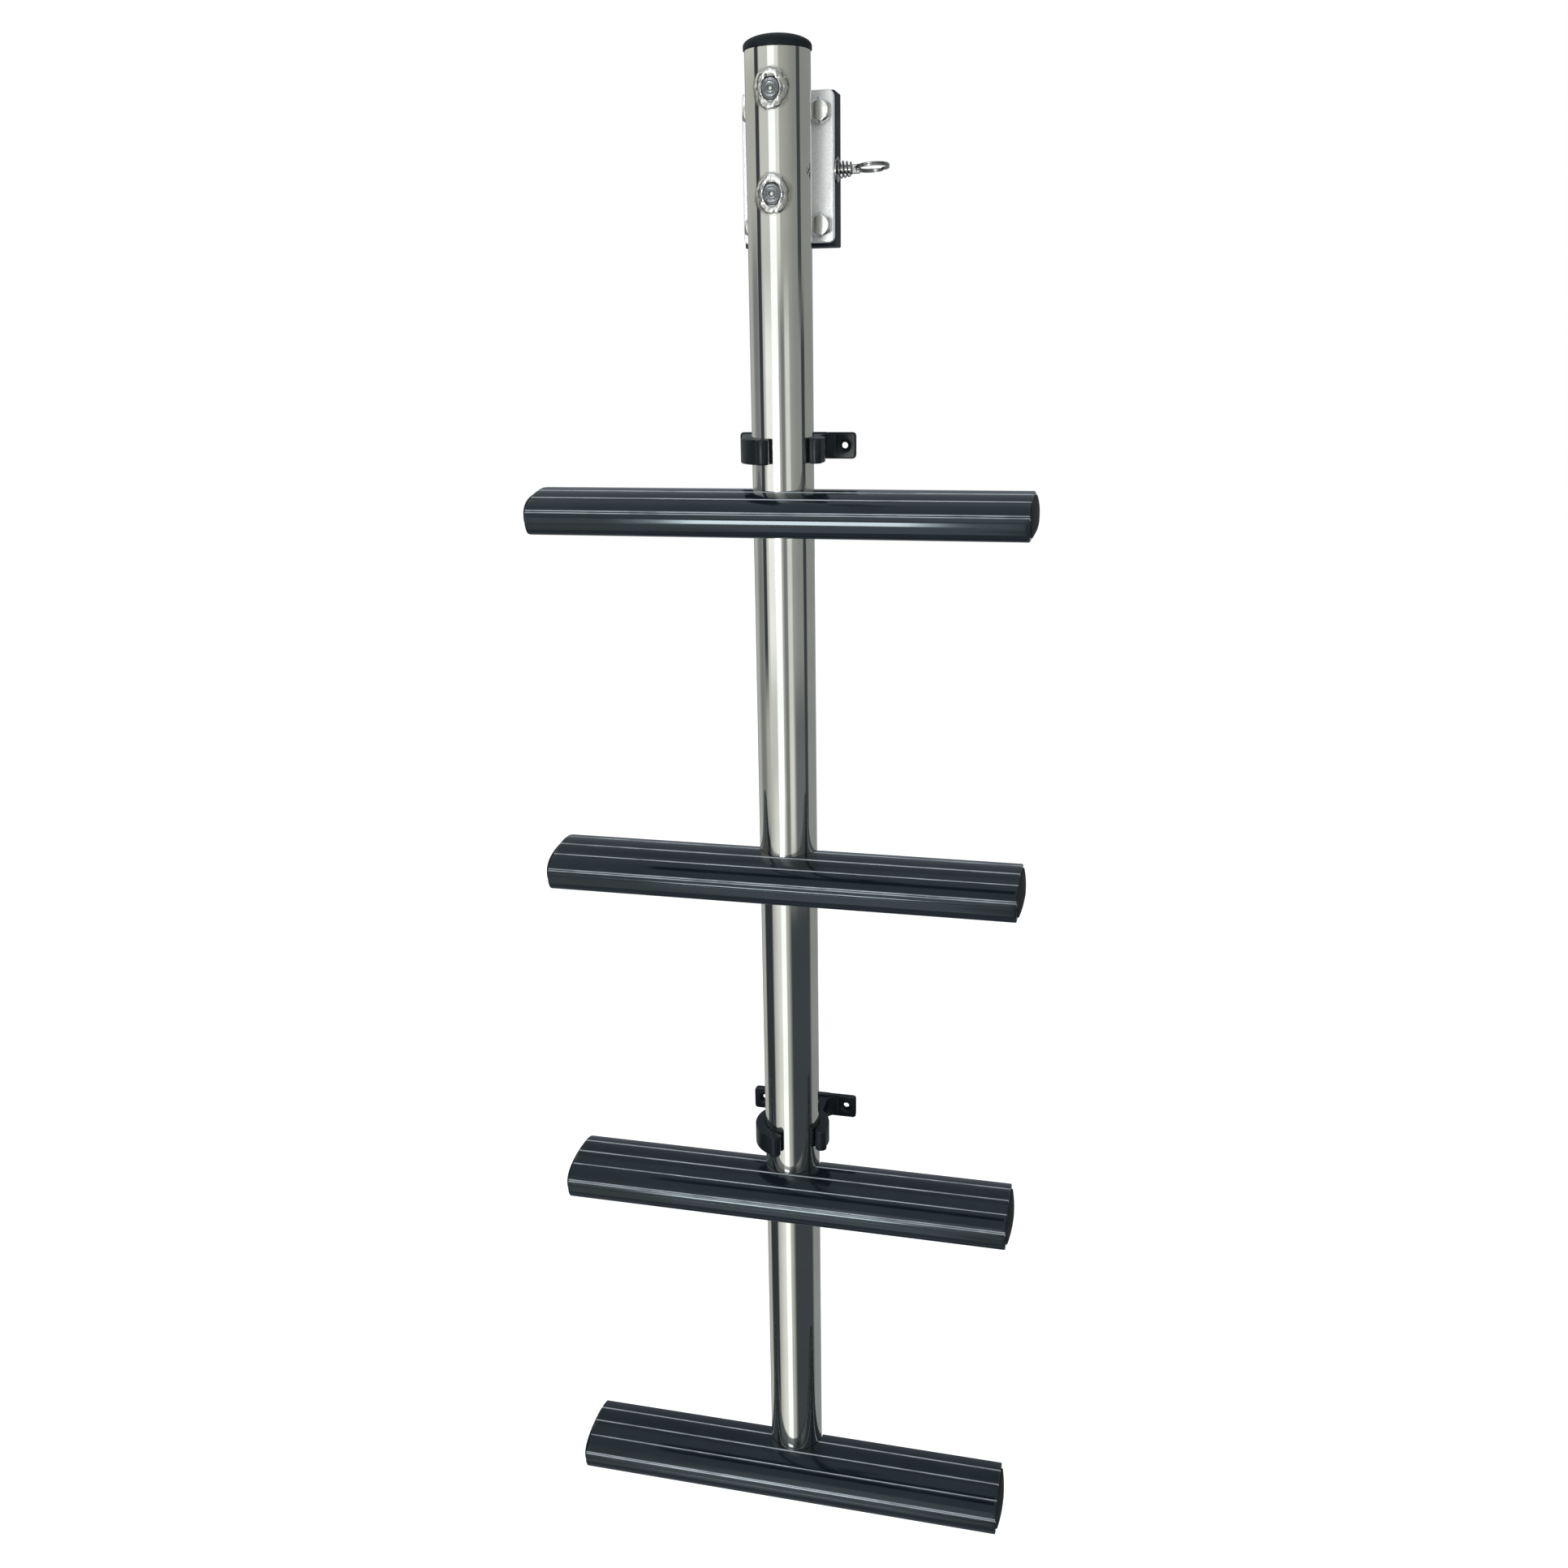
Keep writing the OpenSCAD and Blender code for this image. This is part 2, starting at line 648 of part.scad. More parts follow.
module wire(path, r) {
    rings = wire_rings(path, r);
    n = len(path);
    pts = [for (ring = rings) for (p = ring) p];
    sides = [for (i = [0:n - 2]) for (k = [0:5])
        let (a = 6 * i + k, b = 6 * i + (k + 1) % 6)
        each [[a, b, a + 6], [b, b + 6, a + 6]]];
    ends = [for (k = [1:4]) each [[0, k + 1, k],
                                  [6 * n - 6, 6 * n - 6 + k, 6 * n - 5 + k]]];
    polyhedron(points = pts, faces = concat(sides, ends));
}

// Least gap between two turns, measured on points a turn or more apart.
spring_gap = min([for (i = [2:len(coil_path) - 3]) for (j = [i + 6:1:len(coil_path) - 3])
    norm(coil_path[i] - coil_path[j])]) - spring_wire;
echo(spring_least_gap = spring_gap);

module pin_spring() {
    color("gray")
    translate([0, -pin_depth, 0]) wire(coil_path, spring_wire / 2);
}

// Two turns of wire side by side, through the pin's eye. The ring leans
// about the eye's hole.
module pull_ring() {
    color("gray")
    translate([ring_x, -pin_depth, 0]) rotate([0, -ring_lean, 0])
    translate([ring_r, 0, 0]) rotate([-ring_roll, 0, 0])
    rotate_extrude()
    translate([ring_r, 0]) {
        for (z = [-ring_half, ring_half]) translate([0, z]) circle(r = ring_wire / 2);
        square([ring_wire * 0.6, 2 * ring_half], center = true);
    }
}

// ---- storage clips ---------------------------------------------------

// Plan of the jaw and its neck; the tube's axis is at the plan's origin.
module jaw_plan() {
    far = 3 * jaw_r;
    left = jaw_aim - jaw_open / 2;
    right = jaw_aim + jaw_open / 2;
    difference() {
        union() {
            circle(r = jaw_r);
            translate([-neck_half, 0]) square([2 * neck_half, -tube_y - ear_t / 2]);
            for (s = [-1, 1]) translate([s * neck_half, -tube_y - ear_t]) scale([s, 1])
                difference() {
                    translate([-1, -neck_fillet]) square([neck_fillet + 1, neck_fillet + 1]);
                    translate([neck_fillet, -neck_fillet]) circle(r = neck_fillet);
                }
        }
        circle(r = jaw_in);
        polygon([[0, 0], round_tube(far, left), round_tube(far, (left + right) / 2),
                 round_tube(far, right)]);
    }
    for (a = [left, right])
        translate(round_tube(jaw_in + lip_d / 2 + 0.3, a)) circle(r = lip_d / 2);
}

module clip(z) {
    color([0.16, 0.17, 0.19])
    translate([0, tube_y, z])
    difference() {
        union() {
            translate([0, 0, -clip_h / 2]) linear_extrude(height = clip_h) jaw_plan();
            translate([0, -tube_y, 0]) rotate([90, 0, 0])
                linear_extrude(height = ear_t) round_rect(ear_span, ear_h, ear_corner);
        }
        for (s = [-1, 1]) translate([s * ear_holes / 2, -tube_y - ear_t, 0]) {
            translate([0, -1, 0]) along_y(ear_hole_d / 2, ear_t + 2);
            translate([0, -eps, 0]) rotate([-90, 0, 0])
                cylinder(r1 = ear_sink_d / 2, r2 = ear_hole_d / 2, h = 2.2);
        }
    }
}

module upper_clip() { clip(tread_z[0] + clip_up); }
module lower_clip() { clip(tread_z[2] + clip_up); }

// ---- the nodes -------------------------------------------------------

bracket_block();
bracket_plate();
bracket_bolts();
main_tube();
top_plug();
foot_plug();
upper_stud();
lower_stud();
stud_welds();
crossbar_1();
crossbar_2();
crossbar_3();
crossbar_4();
tread_1();
tread_2();
tread_3();
tread_4();
tread_screws();
left_cap_1();
left_cap_2();
left_cap_3();
left_cap_4();
right_cap_1();
right_cap_2();
right_cap_3();
right_cap_4();
lock_pin();
pin_washer();
pin_spring();
pull_ring();
upper_clip();
lower_clip();
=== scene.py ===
"""Dresses the slide-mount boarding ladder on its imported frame.

Every piece is worked out in millimetres in the ladder's own frame: +Z up
along the tube, +X to the right along the treads, +Y into the boat, with the
origin in the middle of the bracket's transom face.
"""

import logging
import math
from dataclasses import dataclass
from enum import Enum
from typing import Protocol, Sequence

import bmesh
import bpy
import numpy as np
from mathutils import Matrix, Vector

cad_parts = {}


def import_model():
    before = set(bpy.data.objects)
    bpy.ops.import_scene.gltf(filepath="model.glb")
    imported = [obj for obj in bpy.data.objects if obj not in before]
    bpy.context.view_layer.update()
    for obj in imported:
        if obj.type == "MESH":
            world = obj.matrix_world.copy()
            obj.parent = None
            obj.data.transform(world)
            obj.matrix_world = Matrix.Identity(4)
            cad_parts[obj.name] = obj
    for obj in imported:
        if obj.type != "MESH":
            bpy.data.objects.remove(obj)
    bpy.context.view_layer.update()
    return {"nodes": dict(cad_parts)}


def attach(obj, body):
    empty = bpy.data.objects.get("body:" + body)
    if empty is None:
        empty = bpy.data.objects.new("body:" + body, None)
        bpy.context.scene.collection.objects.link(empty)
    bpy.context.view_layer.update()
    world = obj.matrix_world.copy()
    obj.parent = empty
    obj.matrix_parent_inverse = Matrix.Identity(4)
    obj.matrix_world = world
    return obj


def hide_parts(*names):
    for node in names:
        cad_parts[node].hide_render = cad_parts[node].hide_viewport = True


Array = np.ndarray
Colour = tuple[float, float, float]
Inputs = dict[str | int, object]
Node = bpy.types.Node
Outputs = bpy.types.NodeOutputs
Piece = bpy.types.Object
Socket = bpy.types.NodeSocket
MM = 0.001
TINY = 1e-9
CIRCLE = 2 * np.pi
LOG = logging.getLogger("ladder")


class Axis(Enum):
    """The line that a piece is turned about or stood up along.

    Each value gives the places of the two flat coordinates and of the
    height among X, Y and Z.
    """

    X = (1, 2, 0)
    Y = (2, 0, 1)
    Z = (0, 1, 2)


class Side(Enum):
    """An end of a tread, or a side of the ladder."""

    LEFT = -1
    RIGHT = 1


@dataclass(frozen=True)
class Layout:
    """Sizes that several sub-assemblies share, in millimetres."""

    tube_r: float = 19.05
    bore_r: float = 17.4
    tube_y: float = -44.0
    tube_top: float = 60.8
    tube_bottom: float = -927.2
    stud_z: tuple[float, float] = (38.8, -16.7)
    block_depth: float = 18.0
    channel_depth: float = 8.0
    top_tread_z: float = -200.2
    tread_pitch: float = 236.0
    tread_length: float = 310.0
    grooves: tuple[float, ...] = (6.8, 20.2, 32.6, 43.3)
    clip_rise: float = 38.5
    pin_y: float = -13.5

    def tread_z(self, number: int) -> float:
        """The height of a tread's nose line, counted from 1 at the top."""
        return self.top_tread_z - self.tread_pitch * (number - 1)


LAYOUT = Layout()


# ---- shapes ------------------------------------------------------------


def arc(centre: Sequence[float], radius: float, start: float, end: float, count: int) -> Array:
    """Points on a circle at evenly spaced angles, in degrees from the first direction."""
    angle = np.radians(np.linspace(start, end, count))
    return np.asarray(centre) + radius * np.stack([np.cos(angle), np.sin(angle)], axis=1)


def soften(outline: Array, radius: float | Array, steps: int = 5, closed: bool = True) -> Array:
    """Rounds an outline's corners.

    Each corner gives way to a parabola (1-t)^2 a + 2t(1-t) p + t^2 b, where
    a and b lie on its two sides, the radius away from the corner p.

    Args:
        outline: Corner points, as [n, 2].
        radius: How far the rounding starts from each corner, or one for each.
        steps: Points in each rounded corner.
        closed: Whether the last point joins the first.

    Returns:
        The rounded outline.
    """
    reach = np.broadcast_to(np.asarray(radius, float).reshape(-1, 1), (len(outline), 1))
    ends = []
    for way in (1, -1):
        side = np.roll(outline, way, axis=0) - outline
        length = np.maximum(np.linalg.norm(side, axis=1, keepdims=True), TINY)
        ends.append((outline + side / length * np.minimum(reach, length * 0.49))[:, None])
    t = np.linspace(0, 1, steps)[None, :, None]
    rounded = (1 - t) ** 2 * ends[0] + 2 * t * (1 - t) * outline[:, None] + t**2 * ends[1]
    if closed:
        return rounded.reshape(-1, 2)
    return np.concatenate([outline[:1], rounded[1:-1].reshape(-1, 2), outline[-1:]])


def inset(outline: Array, depth: float) -> Array:
    """Moves a closed outline's points inwards, along the mean of their sides' normals.

    Args:
        outline: Closed outline, as [n, 2].
        depth: How far each point moves.

    Returns:
        The moved outline.
    """
    side = np.roll(outline, -1, axis=0) - outline
    side /= np.maximum(np.linalg.norm(side, axis=1, keepdims=True), TINY)
    along = side + np.roll(side, 1, axis=0)
    along /= np.maximum(np.linalg.norm(along, axis=1, keepdims=True), TINY)
    x, y = outline.T
    turn = np.sign(np.sum(x * np.roll(y, -1) - np.roll(x, -1) * y))
    return outline + depth * turn * np.stack([-along[:, 1], along[:, 0]], axis=1)


def place(axis: Axis, first: Array, second: Array, height: Array | float) -> Array:
    """Puts two flat coordinates and a height into X, Y and Z, as the axis says."""
    rows = np.broadcast_arrays(first, second, height)
    return np.stack([rows[k] for k in np.argsort(axis.value)], axis=-1)


def rotate(first: Array, second: Array, degrees: float) -> tuple[Array, Array]:
    """Turns flat points about the origin, from the first direction to the second."""
    c, s = math.cos(math.radians(degrees)), math.sin(math.radians(degrees))
    return first * c - second * s, first * s + second * c


def spaced(outline: Array, count: int) -> Array:
    """Points evenly spaced along a closed outline, by their distance along it.

    Args:
        outline: The closed outline, as [n, 2].
        count: How many points.

    Returns:
        The points, as [count, 2].
    """
    loop = np.vstack([outline, outline[:1]])
    run = np.concatenate([[0], np.cumsum(np.linalg.norm(np.diff(loop, axis=0), axis=1))])
    at = np.linspace(0, run[-1], count, endpoint=False)
    return np.stack([np.interp(at, run, loop[:, k]) for k in range(2)], axis=1)


def lathe(profile: Array, axis: Axis, centre: Sequence[float], around: int = 64) -> Array:
    """Turns a profile about an axis: at angle a, the radius times cos a and sin a.

    Args:
        profile: Pairs of radius and height, as [n, 2].
        axis: The axis it is turned about.
        centre: A point on the axis, where the height is zero.
        around: Points in each ring.

    Returns:
        A grid of points, as [n, around, 3].
    """
    angle = np.linspace(0, CIRCLE, around, endpoint=False)
    first, second, third = (centre[k] for k in axis.value)
    radius, height = profile[:, :1], profile[:, 1:]
    return place(axis, first + radius * np.cos(angle), second + radius * np.sin(angle), third + height)


def prism(outline: Array, axis: Axis, start: float, end: float, edges: tuple[float, float]) -> Array:
    """Stands a closed outline up along an axis, with its rims rounded.

    At height h the outline is drawn in by r - sqrt(r^2 - (r - h)^2), a
    quarter circle, near each end.

    Args:
        outline: Closed outline in the two other coordinates, as [n, 2].
        axis: The direction it is stood up along.
        start: Where it starts on that axis.
        end: Where it ends.
        edges: Radius of the rim at the start and at the end.

    Returns:
        A grid of points, as [rows, n, 3].
    """
    rise, draw = quarter(5)
    heights = np.concatenate([start + edges[0] * rise, end - edges[1] * rise[::-1]])
    depths = np.concatenate([edges[0] * draw, edges[1] * draw[::-1]])
    rows = zip(depths, heights)
    return np.stack([place(axis, *inset(outline, depth).T, height) for depth, height in rows])


def quarter(count: int) -> tuple[Array, Array]:
    """A rim of radius 1 as 1 - cos w and 1 - sin w, for w from 0 to 90 degrees."""
    w = np.linspace(0, np.pi / 2, count)
    return 1 - np.cos(w), 1 - np.sin(w)


def pipe(path: Array, radius: float, around: int = 14) -> Array:
    """Carries a round section along a path, square to it.

    The section's first direction is the path's binormal, so that it doesn't
    twist on a coil, and its second is their cross product.

    Args:
        path: Points of the centre line, as [n, 3].
        radius: The section's radius.
        around: Points in each section.

    Returns:
        A grid of points, as [n, around, 3].
    """
    tangent = np.gradient(path, axis=0)
    tangent /= np.linalg.norm(tangent, axis=1, keepdims=True)
    guide = np.cross(tangent, np.gradient(tangent, axis=0))
    bent = np.linalg.norm(guide, axis=1) >= 1e-6
    index = np.arange(len(path))
    guide = np.stack([np.interp(index, index[bent], guide[bent, k]) for k in range(3)], axis=1)
    guide -= tangent * np.sum(guide * tangent, axis=1, keepdims=True)
    guide /= np.linalg.norm(guide, axis=1, keepdims=True)
    other = np.cross(tangent, guide)
    angle = np.linspace(0, CIRCLE, around, endpoint=False)[None, :, None]
    return path[:, None] + radius * (np.cos(angle) * guide[:, None] + np.sin(angle) * other[:, None])


class Shell:
    """Gathers grids of points, in millimetres, into one mesh of closed parts."""

    def __init__(self, name: str) -> None:
        """Starts an empty shell.

        Args:
            name: The piece's name.
        """
        self.name = name
        self.points: list[Array] = []
        self.faces: list[list[int]] = []
        self.count = 0

    def grid(self, points: Array, wrap: bool = False, lids: bool = True) -> "Shell":
        """Adds a grid whose columns close into rings.

        Args:
            points: The points, as [rows, around, 3].
            wrap: Whether the last row joins the first as well.
            lids: Whether flat faces close the first and last rings.

        Returns:
            The shell itself.
        """
        rows, around = points.shape[:2]
        index = np.arange(rows * around).reshape(rows, around) + self.count
        if wrap:
            index = np.concatenate([index, index[:1]])
        beside = np.roll(index, -1, axis=1)
        quads = np.stack([index[:-1], beside[:-1], beside[1:], index[1:]], axis=-1)
        self.faces += quads.reshape(-1, 4).tolist()
        if lids and not wrap:
            self.faces += [index[0, ::-1].tolist(), index[-1].tolist()]
        self.points.append(points.reshape(-1, 3))
        self.count += rows * around
        return self

    def build(self, crease: float = 32.0) -> Piece:
        """Makes the mesh, merges its poles, and turns its faces outwards.

        Args:
            crease: Edges sharper than this many degrees stay sharp.

        Returns:
            The piece, linked into the scene at the origin.
        """
        piece = add_mesh(self.name, np.concatenate(self.points) * MM, self.faces)
        work = bmesh.new()
        work.from_mesh(piece.data)
        bmesh.ops.remove_doubles(work, verts=work.verts, dist=2e-6)
        bmesh.ops.dissolve_degenerate(work, edges=work.edges, dist=1e-6)
        bmesh.ops.recalc_face_normals(work, faces=work.faces)
        work.to_mesh(piece.data)
        work.free()
        piece.data.shade_smooth()
        piece.data.set_sharp_from_angle(angle=math.radians(crease))
        return piece


def add_mesh(name: str, points: Array, faces: list[list[int]]) -> Piece:
    """Makes a mesh, in metres, and links it into the scene at the origin.

    Args:
        name: The object's name.
        points: Its points, as [n, 3].
        faces: The points of each face, by number.

    Returns:
        The new object.
    """
    mesh = bpy.data.meshes.new(name)
    mesh.from_pydata(points.tolist(), [], faces)
    piece = bpy.data.objects.new(name, mesh)
    bpy.context.scene.collection.objects.link(piece)
    return piece


# ---- finishes ----------------------------------------------------------


def linear(red: float, green: float, blue: float) -> tuple[float, ...]:
    """Turns a screen colour of 0 to 255 into the scene's linear light.

    Args:
        red: The red part.
        green: The green part.
        blue: The blue part.

    Returns:
        The colour as a socket's value.
    """
    screen = np.array([red, green, blue]) / 255
    light = np.where(screen <= 0.04045, screen / 12.92, ((screen + 0.055) / 1.055) ** 2.4)
    return (*light.tolist(), 1.0)


class Effect(Enum):
    """The shader groups that several finishes share."""

    GRAIN = "fine_grain"
    LINES = "drawn_lines"
    MOTTLE = "soft_mottle"
    # Sharp edges made paler: partly edge wear, partly a painted highlight.
    WEAR = "edge_wear"


class Tree:
    """A short hand for adding nodes to a node tree."""

    def __init__(self, tree: bpy.types.NodeTree) -> None:
        """Keeps the tree that nodes are added to."""
        self.tree = tree

    def feed(self, node: Node, inputs: Inputs) -> Node:
        """Sets or links a node's inputs.

        Args:
            node: The node.
            inputs: Values or sockets for its inputs, by name or number.

        Returns:
            The node.
        """
        for key, value in inputs.items():
            if isinstance(value, Socket):
                self.tree.links.new(value, node.inputs[key])
            else:
                node.inputs[key].default_value = value
        return node

    def add(self, kind: str, inputs: Inputs | None = None, **settings: object) -> Node:
        """Adds a node with its settings, and feeds its inputs.

        Args:
            kind: The node's type without its "ShaderNode".
            inputs: Values or sockets for its inputs, by name or number.
            **settings: The node's own settings.

        Returns:
            The new node.
        """
        node = self.tree.nodes.new(kind if kind.startswith("Node") else "ShaderNode" + kind)
        for name, value in settings.items():
            setattr(node, name, value)
        return self.feed(node, inputs or {})

    def math(self, operation: str, first: object, second: object = 0.0) -> Socket:
        """Adds a Math node and gives its output."""
        return self.add("Math", {0: first, 1: second}, operation=operation).outputs[0]

    def total(self, base: object, *shares: tuple[object, float]) -> Socket:
        """Adds to a base value each mask times its gain.

        Args:
            base: The value to start from.
            *shares: Pairs of a mask and its gain.

        Returns:
            The sum's socket.
        """
        for mask, gain in shares:
            base = self.math("ADD", base, self.math("MULTIPLY", mask, gain))
        return base

    def ramp(
        self, value: object, low: float, high: float, to_low: float = 0.0, to_high: float = 1.0
    ) -> Socket:
        """Adds a smooth Map Range and gives its output."""
        ends = {"Value": value, "From Min": low, "From Max": high, "To Min": to_low, "To Max": to_high}
        return self.add("MapRange", ends, interpolation_type="SMOOTHSTEP").outputs["Result"]

    def mix(self, share: object, first: object, second: object) -> Socket:
        """Adds a colour Mix and gives its output."""
        return self.add("Mix", {0: share, 6: first, 7: second}, data_type="RGBA").outputs[2]

    def noise(self, where: Socket, scale: object, detail: float, rough: float = 0.5) -> Socket:
        """Adds a Noise Texture and gives its grey output."""
        inputs = {"Vector": where, "Scale": scale, "Detail": detail, "Roughness": rough}
        return self.add("TexNoise", inputs).outputs[0]

    def times(self, first: object, second: object) -> Socket:
        """Multiplies two vectors or colours part by part."""
        return self.add("VectorMath", {0: first, 1: second}, operation="MULTIPLY").outputs[0]

    def group(self, effect: Effect, inputs: Inputs) -> Outputs:
        """Adds a shared effect with its values and gives its outputs."""
        return self.add("Group", inputs, node_tree=bpy.data.node_groups[effect.value]).outputs

    def bump(self, height: Socket, depth: float) -> Socket:
        """Adds a Bump of a depth in millimetres and gives its normal."""
        return self.add("Bump", {"Height": height, "Distance": depth * MM, "Strength": 1.0}).outputs[0]


def bare_tree(holder: bpy.types.Material | bpy.types.World) -> Tree:
    """Empties a material's or a world's nodes.

    Args:
        holder: The material or world.

    Returns:
        Its empty tree.
    """
    holder.use_nodes = True
    holder.node_tree.nodes.clear()
    return Tree(holder.node_tree)


class Effects:
    """Makes the shared shader groups."""

    def build(self) -> None:
        """Makes every group once."""
        self.grain()
        self.lines()
        self.mottle()
        self.wear()

    def start(
        self, effect: Effect, inputs: dict[str, str], outputs: dict[str, str]
    ) -> tuple[Tree, Outputs, Node]:
        """Starts a group with named sockets.

        Args:
            effect: The effect that the group is for.
            inputs: Kind of each input after its Vector, by name.
            outputs: Kind of each output, by name.

        Returns:
            The tree, the sockets that it is given, and its output node.
        """
        group = bpy.data.node_groups.new(effect.value, "ShaderNodeTree")
        for way, sockets in (("INPUT", {"Vector": "Vector", **inputs}), ("OUTPUT", outputs)):
            for name, kind in sockets.items():
                group.interface.new_socket(name=name, in_out=way, socket_type="NodeSocket" + kind)
        tree = Tree(group)
        return tree, tree.add("NodeGroupInput").outputs, tree.add("NodeGroupOutput")

    def grain(self) -> None:
        """Moulded or blasted grain: fine noise over a coarser one."""
        kinds = {"Scale": "Float", "Coarse": "Float"}
        tree, given, out = self.start(Effect.GRAIN, kinds, {"Height": "Float", "Sparkle": "Float"})
        fine = tree.noise(given["Vector"], given["Scale"], 2.0)
        coarse = tree.noise(given["Vector"], tree.math("MULTIPLY", given["Scale"], 0.22), 3.0)
        height = tree.math("ADD", fine, tree.math("MULTIPLY", coarse, given["Coarse"]))
        tree.feed(out, {"Height": height, "Sparkle": tree.ramp(fine, 0.52, 0.68)})

    def lines(self) -> None:
        """Drawing or polishing lines: fine and wide noise, squeezed along the stretch."""
        kinds = {"Stretch": "Vector", "Scale": "Float"}
        tree, given, out = self.start(Effect.LINES, kinds, {"Height": "Float", "Mask": "Float"})
        where = tree.times(given["Vector"], given["Stretch"])
        fine = tree.noise(where, given["Scale"], 3.0)
        wide = tree.noise(where, tree.math("MULTIPLY", given["Scale"], 0.12), 2.0)
        height = tree.total(wide, (fine, 0.5))
        tree.feed(out, {"Height": height, "Mask": tree.ramp(height, 0.6, 0.95)})

    def mottle(self) -> None:
        """Soft colour and gloss patches, from handling and water marks."""
        kinds = {"Scale": "Float", "First": "Color", "Second": "Color"}
        tree, given, out = self.start(Effect.MOTTLE, kinds, {"Color": "Color", "Mask": "Float"})
        mask = tree.ramp(tree.noise(given["Vector"], given["Scale"], 5.0, 0.6), 0.35, 0.68)
        tree.feed(out, {"Color": tree.mix(mask, given["First"], given["Second"]), "Mask": mask})

    def wear(self) -> None:
        """Mask of sharply convex edges, broken up by noise: partly edge wear and partly a painted
        highlight.
        """
        kinds = {"Start": "Float", "Full": "Float"}
        tree, given, out = self.start(Effect.WEAR, kinds, {"Mask": "Float"})
        convex = tree.add("NewGeometry").outputs["Pointiness"]
        ends = {"Value": convex, "From Min": given["Start"], "From Max": given["Full"]}
        edge = tree.add("MapRange", ends).outputs[0]
        part = tree.ramp(tree.noise(given["Vector"], 260.0, 4.0), 0.3, 0.6, 0.35, 1.0)
        tree.feed(out, {"Mask": tree.math("MULTIPLY", edge, part)})


@dataclass(frozen=True)
class Finish:
    """A finish and the record's slot that it stands for."""

    slot: str
    colour: Colour
    roughness: float

    def tone(self, gain: float = 1.0) -> tuple[float, ...]:
        """Its colour times a gain, as a socket's value."""
        return (*[min(1.0, part * gain) for part in self.colour], 1.0)

    def patches(self, tree: Tree, where: Socket, scale: float, gain: float) -> Outputs:
        """Adds soft patches of its colour and of that colour times a gain."""
        tones = {"First": self.tone(), "Second": self.tone(gain)}
        return tree.group(Effect.MOTTLE, {"Vector": where, "Scale": scale, **tones})

    def material(self) -> bpy.types.Material:
        """Gives the finish's material, made once.

        Returns:
            The material.
        """
        found = bpy.data.materials.get("fin_" + self.slot)
        if found:
            return found
        made = bpy.data.materials.new("fin_" + self.slot)
        tree = bare_tree(made)
        inputs = self.dress(tree, tree.add("TexCoord").outputs["Object"])
        shader = tree.add("BsdfPrincipled", inputs)
        tree.add("OutputMaterial", {"Surface": shader.outputs[0]})
        return made

    def dress(self, tree: Tree, where: Socket) -> Inputs:
        """Adds the finish's own nodes and gives the shader's inputs."""
        raise NotImplementedError


def weld_gap(tree: Tree, where: Socket, ragged: float) -> Socket:
    """The distance to the nearer rod end's middle, made uneven by noise.

    Args:
        tree: The tree that it is worked out in.
        where: The object coordinates.
        ragged: How far the noise adds to it, in metres.

    Returns:
        The distance's socket.
    """
    gaps = []
    for z in LAYOUT.stud_z:
        centre = (0, (LAYOUT.tube_y - LAYOUT.tube_r) * MM, z * MM)
        gaps.append(tree.add("VectorMath", {0: where, 1: centre}, operation="DISTANCE").outputs["Value"])
    return tree.total(tree.math("MINIMUM", *gaps), (tree.noise(where, 160.0, 3.0), ragged))


@dataclass(frozen=True)
class PolishedTube(Finish):
    """Mirror-polished tube with draw lines and a heat tint by the welds."""

    line_depth: float = 0.012
    smear: float = 0.93
    heated: tuple[float, ...] = (0.24, 0.2, 0.17, 1)
    heat_near: float = 0.0125
    heat_far: float = 0.0145

    def dress(self, tree: Tree, where: Socket) -> Inputs:
        """Adds lines along the tube, faint smears, and a brown ring by each weld.

        Args:
            tree: The material's tree.
            where: The object coordinates.

        Returns:
            Values and sockets for the shader's inputs.
        """
        lines = tree.group(Effect.LINES, {"Vector": where, "Stretch": (1, 1, 0.02), "Scale": 700.0})
        smears = self.patches(tree, where, 18.0, self.smear)
        heat = tree.ramp(weld_gap(tree, where, 0.004), self.heat_near, self.heat_far, 1.0, 0.0)
        masks = (lines["Mask"], 0.03), (smears["Mask"], 0.025), (heat, 0.22)
        return {
            "Base Color": tree.mix(tree.math("MULTIPLY", heat, 0.5), smears["Color"], self.heated),
            "Metallic": 1.0,
            "Roughness": tree.total(self.roughness, *masks),
            "Normal": tree.bump(lines["Height"], self.line_depth),
        }


@dataclass(frozen=True)
class Steel(Finish):
    """Satin, drawn or blasted steel."""

    grain: float = 900.0
    grain_depth: float = 0.01
    sparkle: float = 0.15
    stretch: tuple[float, float, float] = (1.0, 1.0, 1.0)
    dark: float = 0.75
    metal: float = 1.0

    def dress(self, tree: Tree, where: Socket) -> Inputs:
        """Adds grain, stretched where the steel is drawn, duller patches, and brighter sharp edges that are
        partly wear and partly a painted highlight.

        Args:
            tree: The material's tree.
            where: The object coordinates.

        Returns:
            Values and sockets for the shader's inputs.
        """
        long = tree.times(where, self.stretch)
        grain = tree.group(Effect.GRAIN, {"Vector": long, "Scale": self.grain, "Coarse": 0.5})
        dull = self.patches(tree, where, 90.0, self.dark)
        # Sharp edges are made brighter: partly edge wear, partly a painted highlight.
        wear = tree.group(Effect.WEAR, {"Vector": where, "Start": 0.53, "Full": 0.62})["Mask"]
        bright = tree.math("MAXIMUM", tree.math("MULTIPLY", grain["Sparkle"], 0.5), wear)
        colour = tree.mix(bright, dull["Color"], self.tone(1.25))
        masks = (grain["Sparkle"], -self.sparkle), (dull["Mask"], 0.08)
        return {
            "Base Color": self.rod_end_shade(tree, where, colour),
            "Metallic": self.metal,
            "Roughness": tree.total(self.roughness, *masks),
            "Normal": tree.bump(grain["Height"], self.grain_depth),
        }

    def rod_end_shade(self, tree: Tree, where: Socket, colour: Socket) -> Socket:
        """Gives the colour as it is: this steel has no darker rod end or painted shadow."""
        return colour


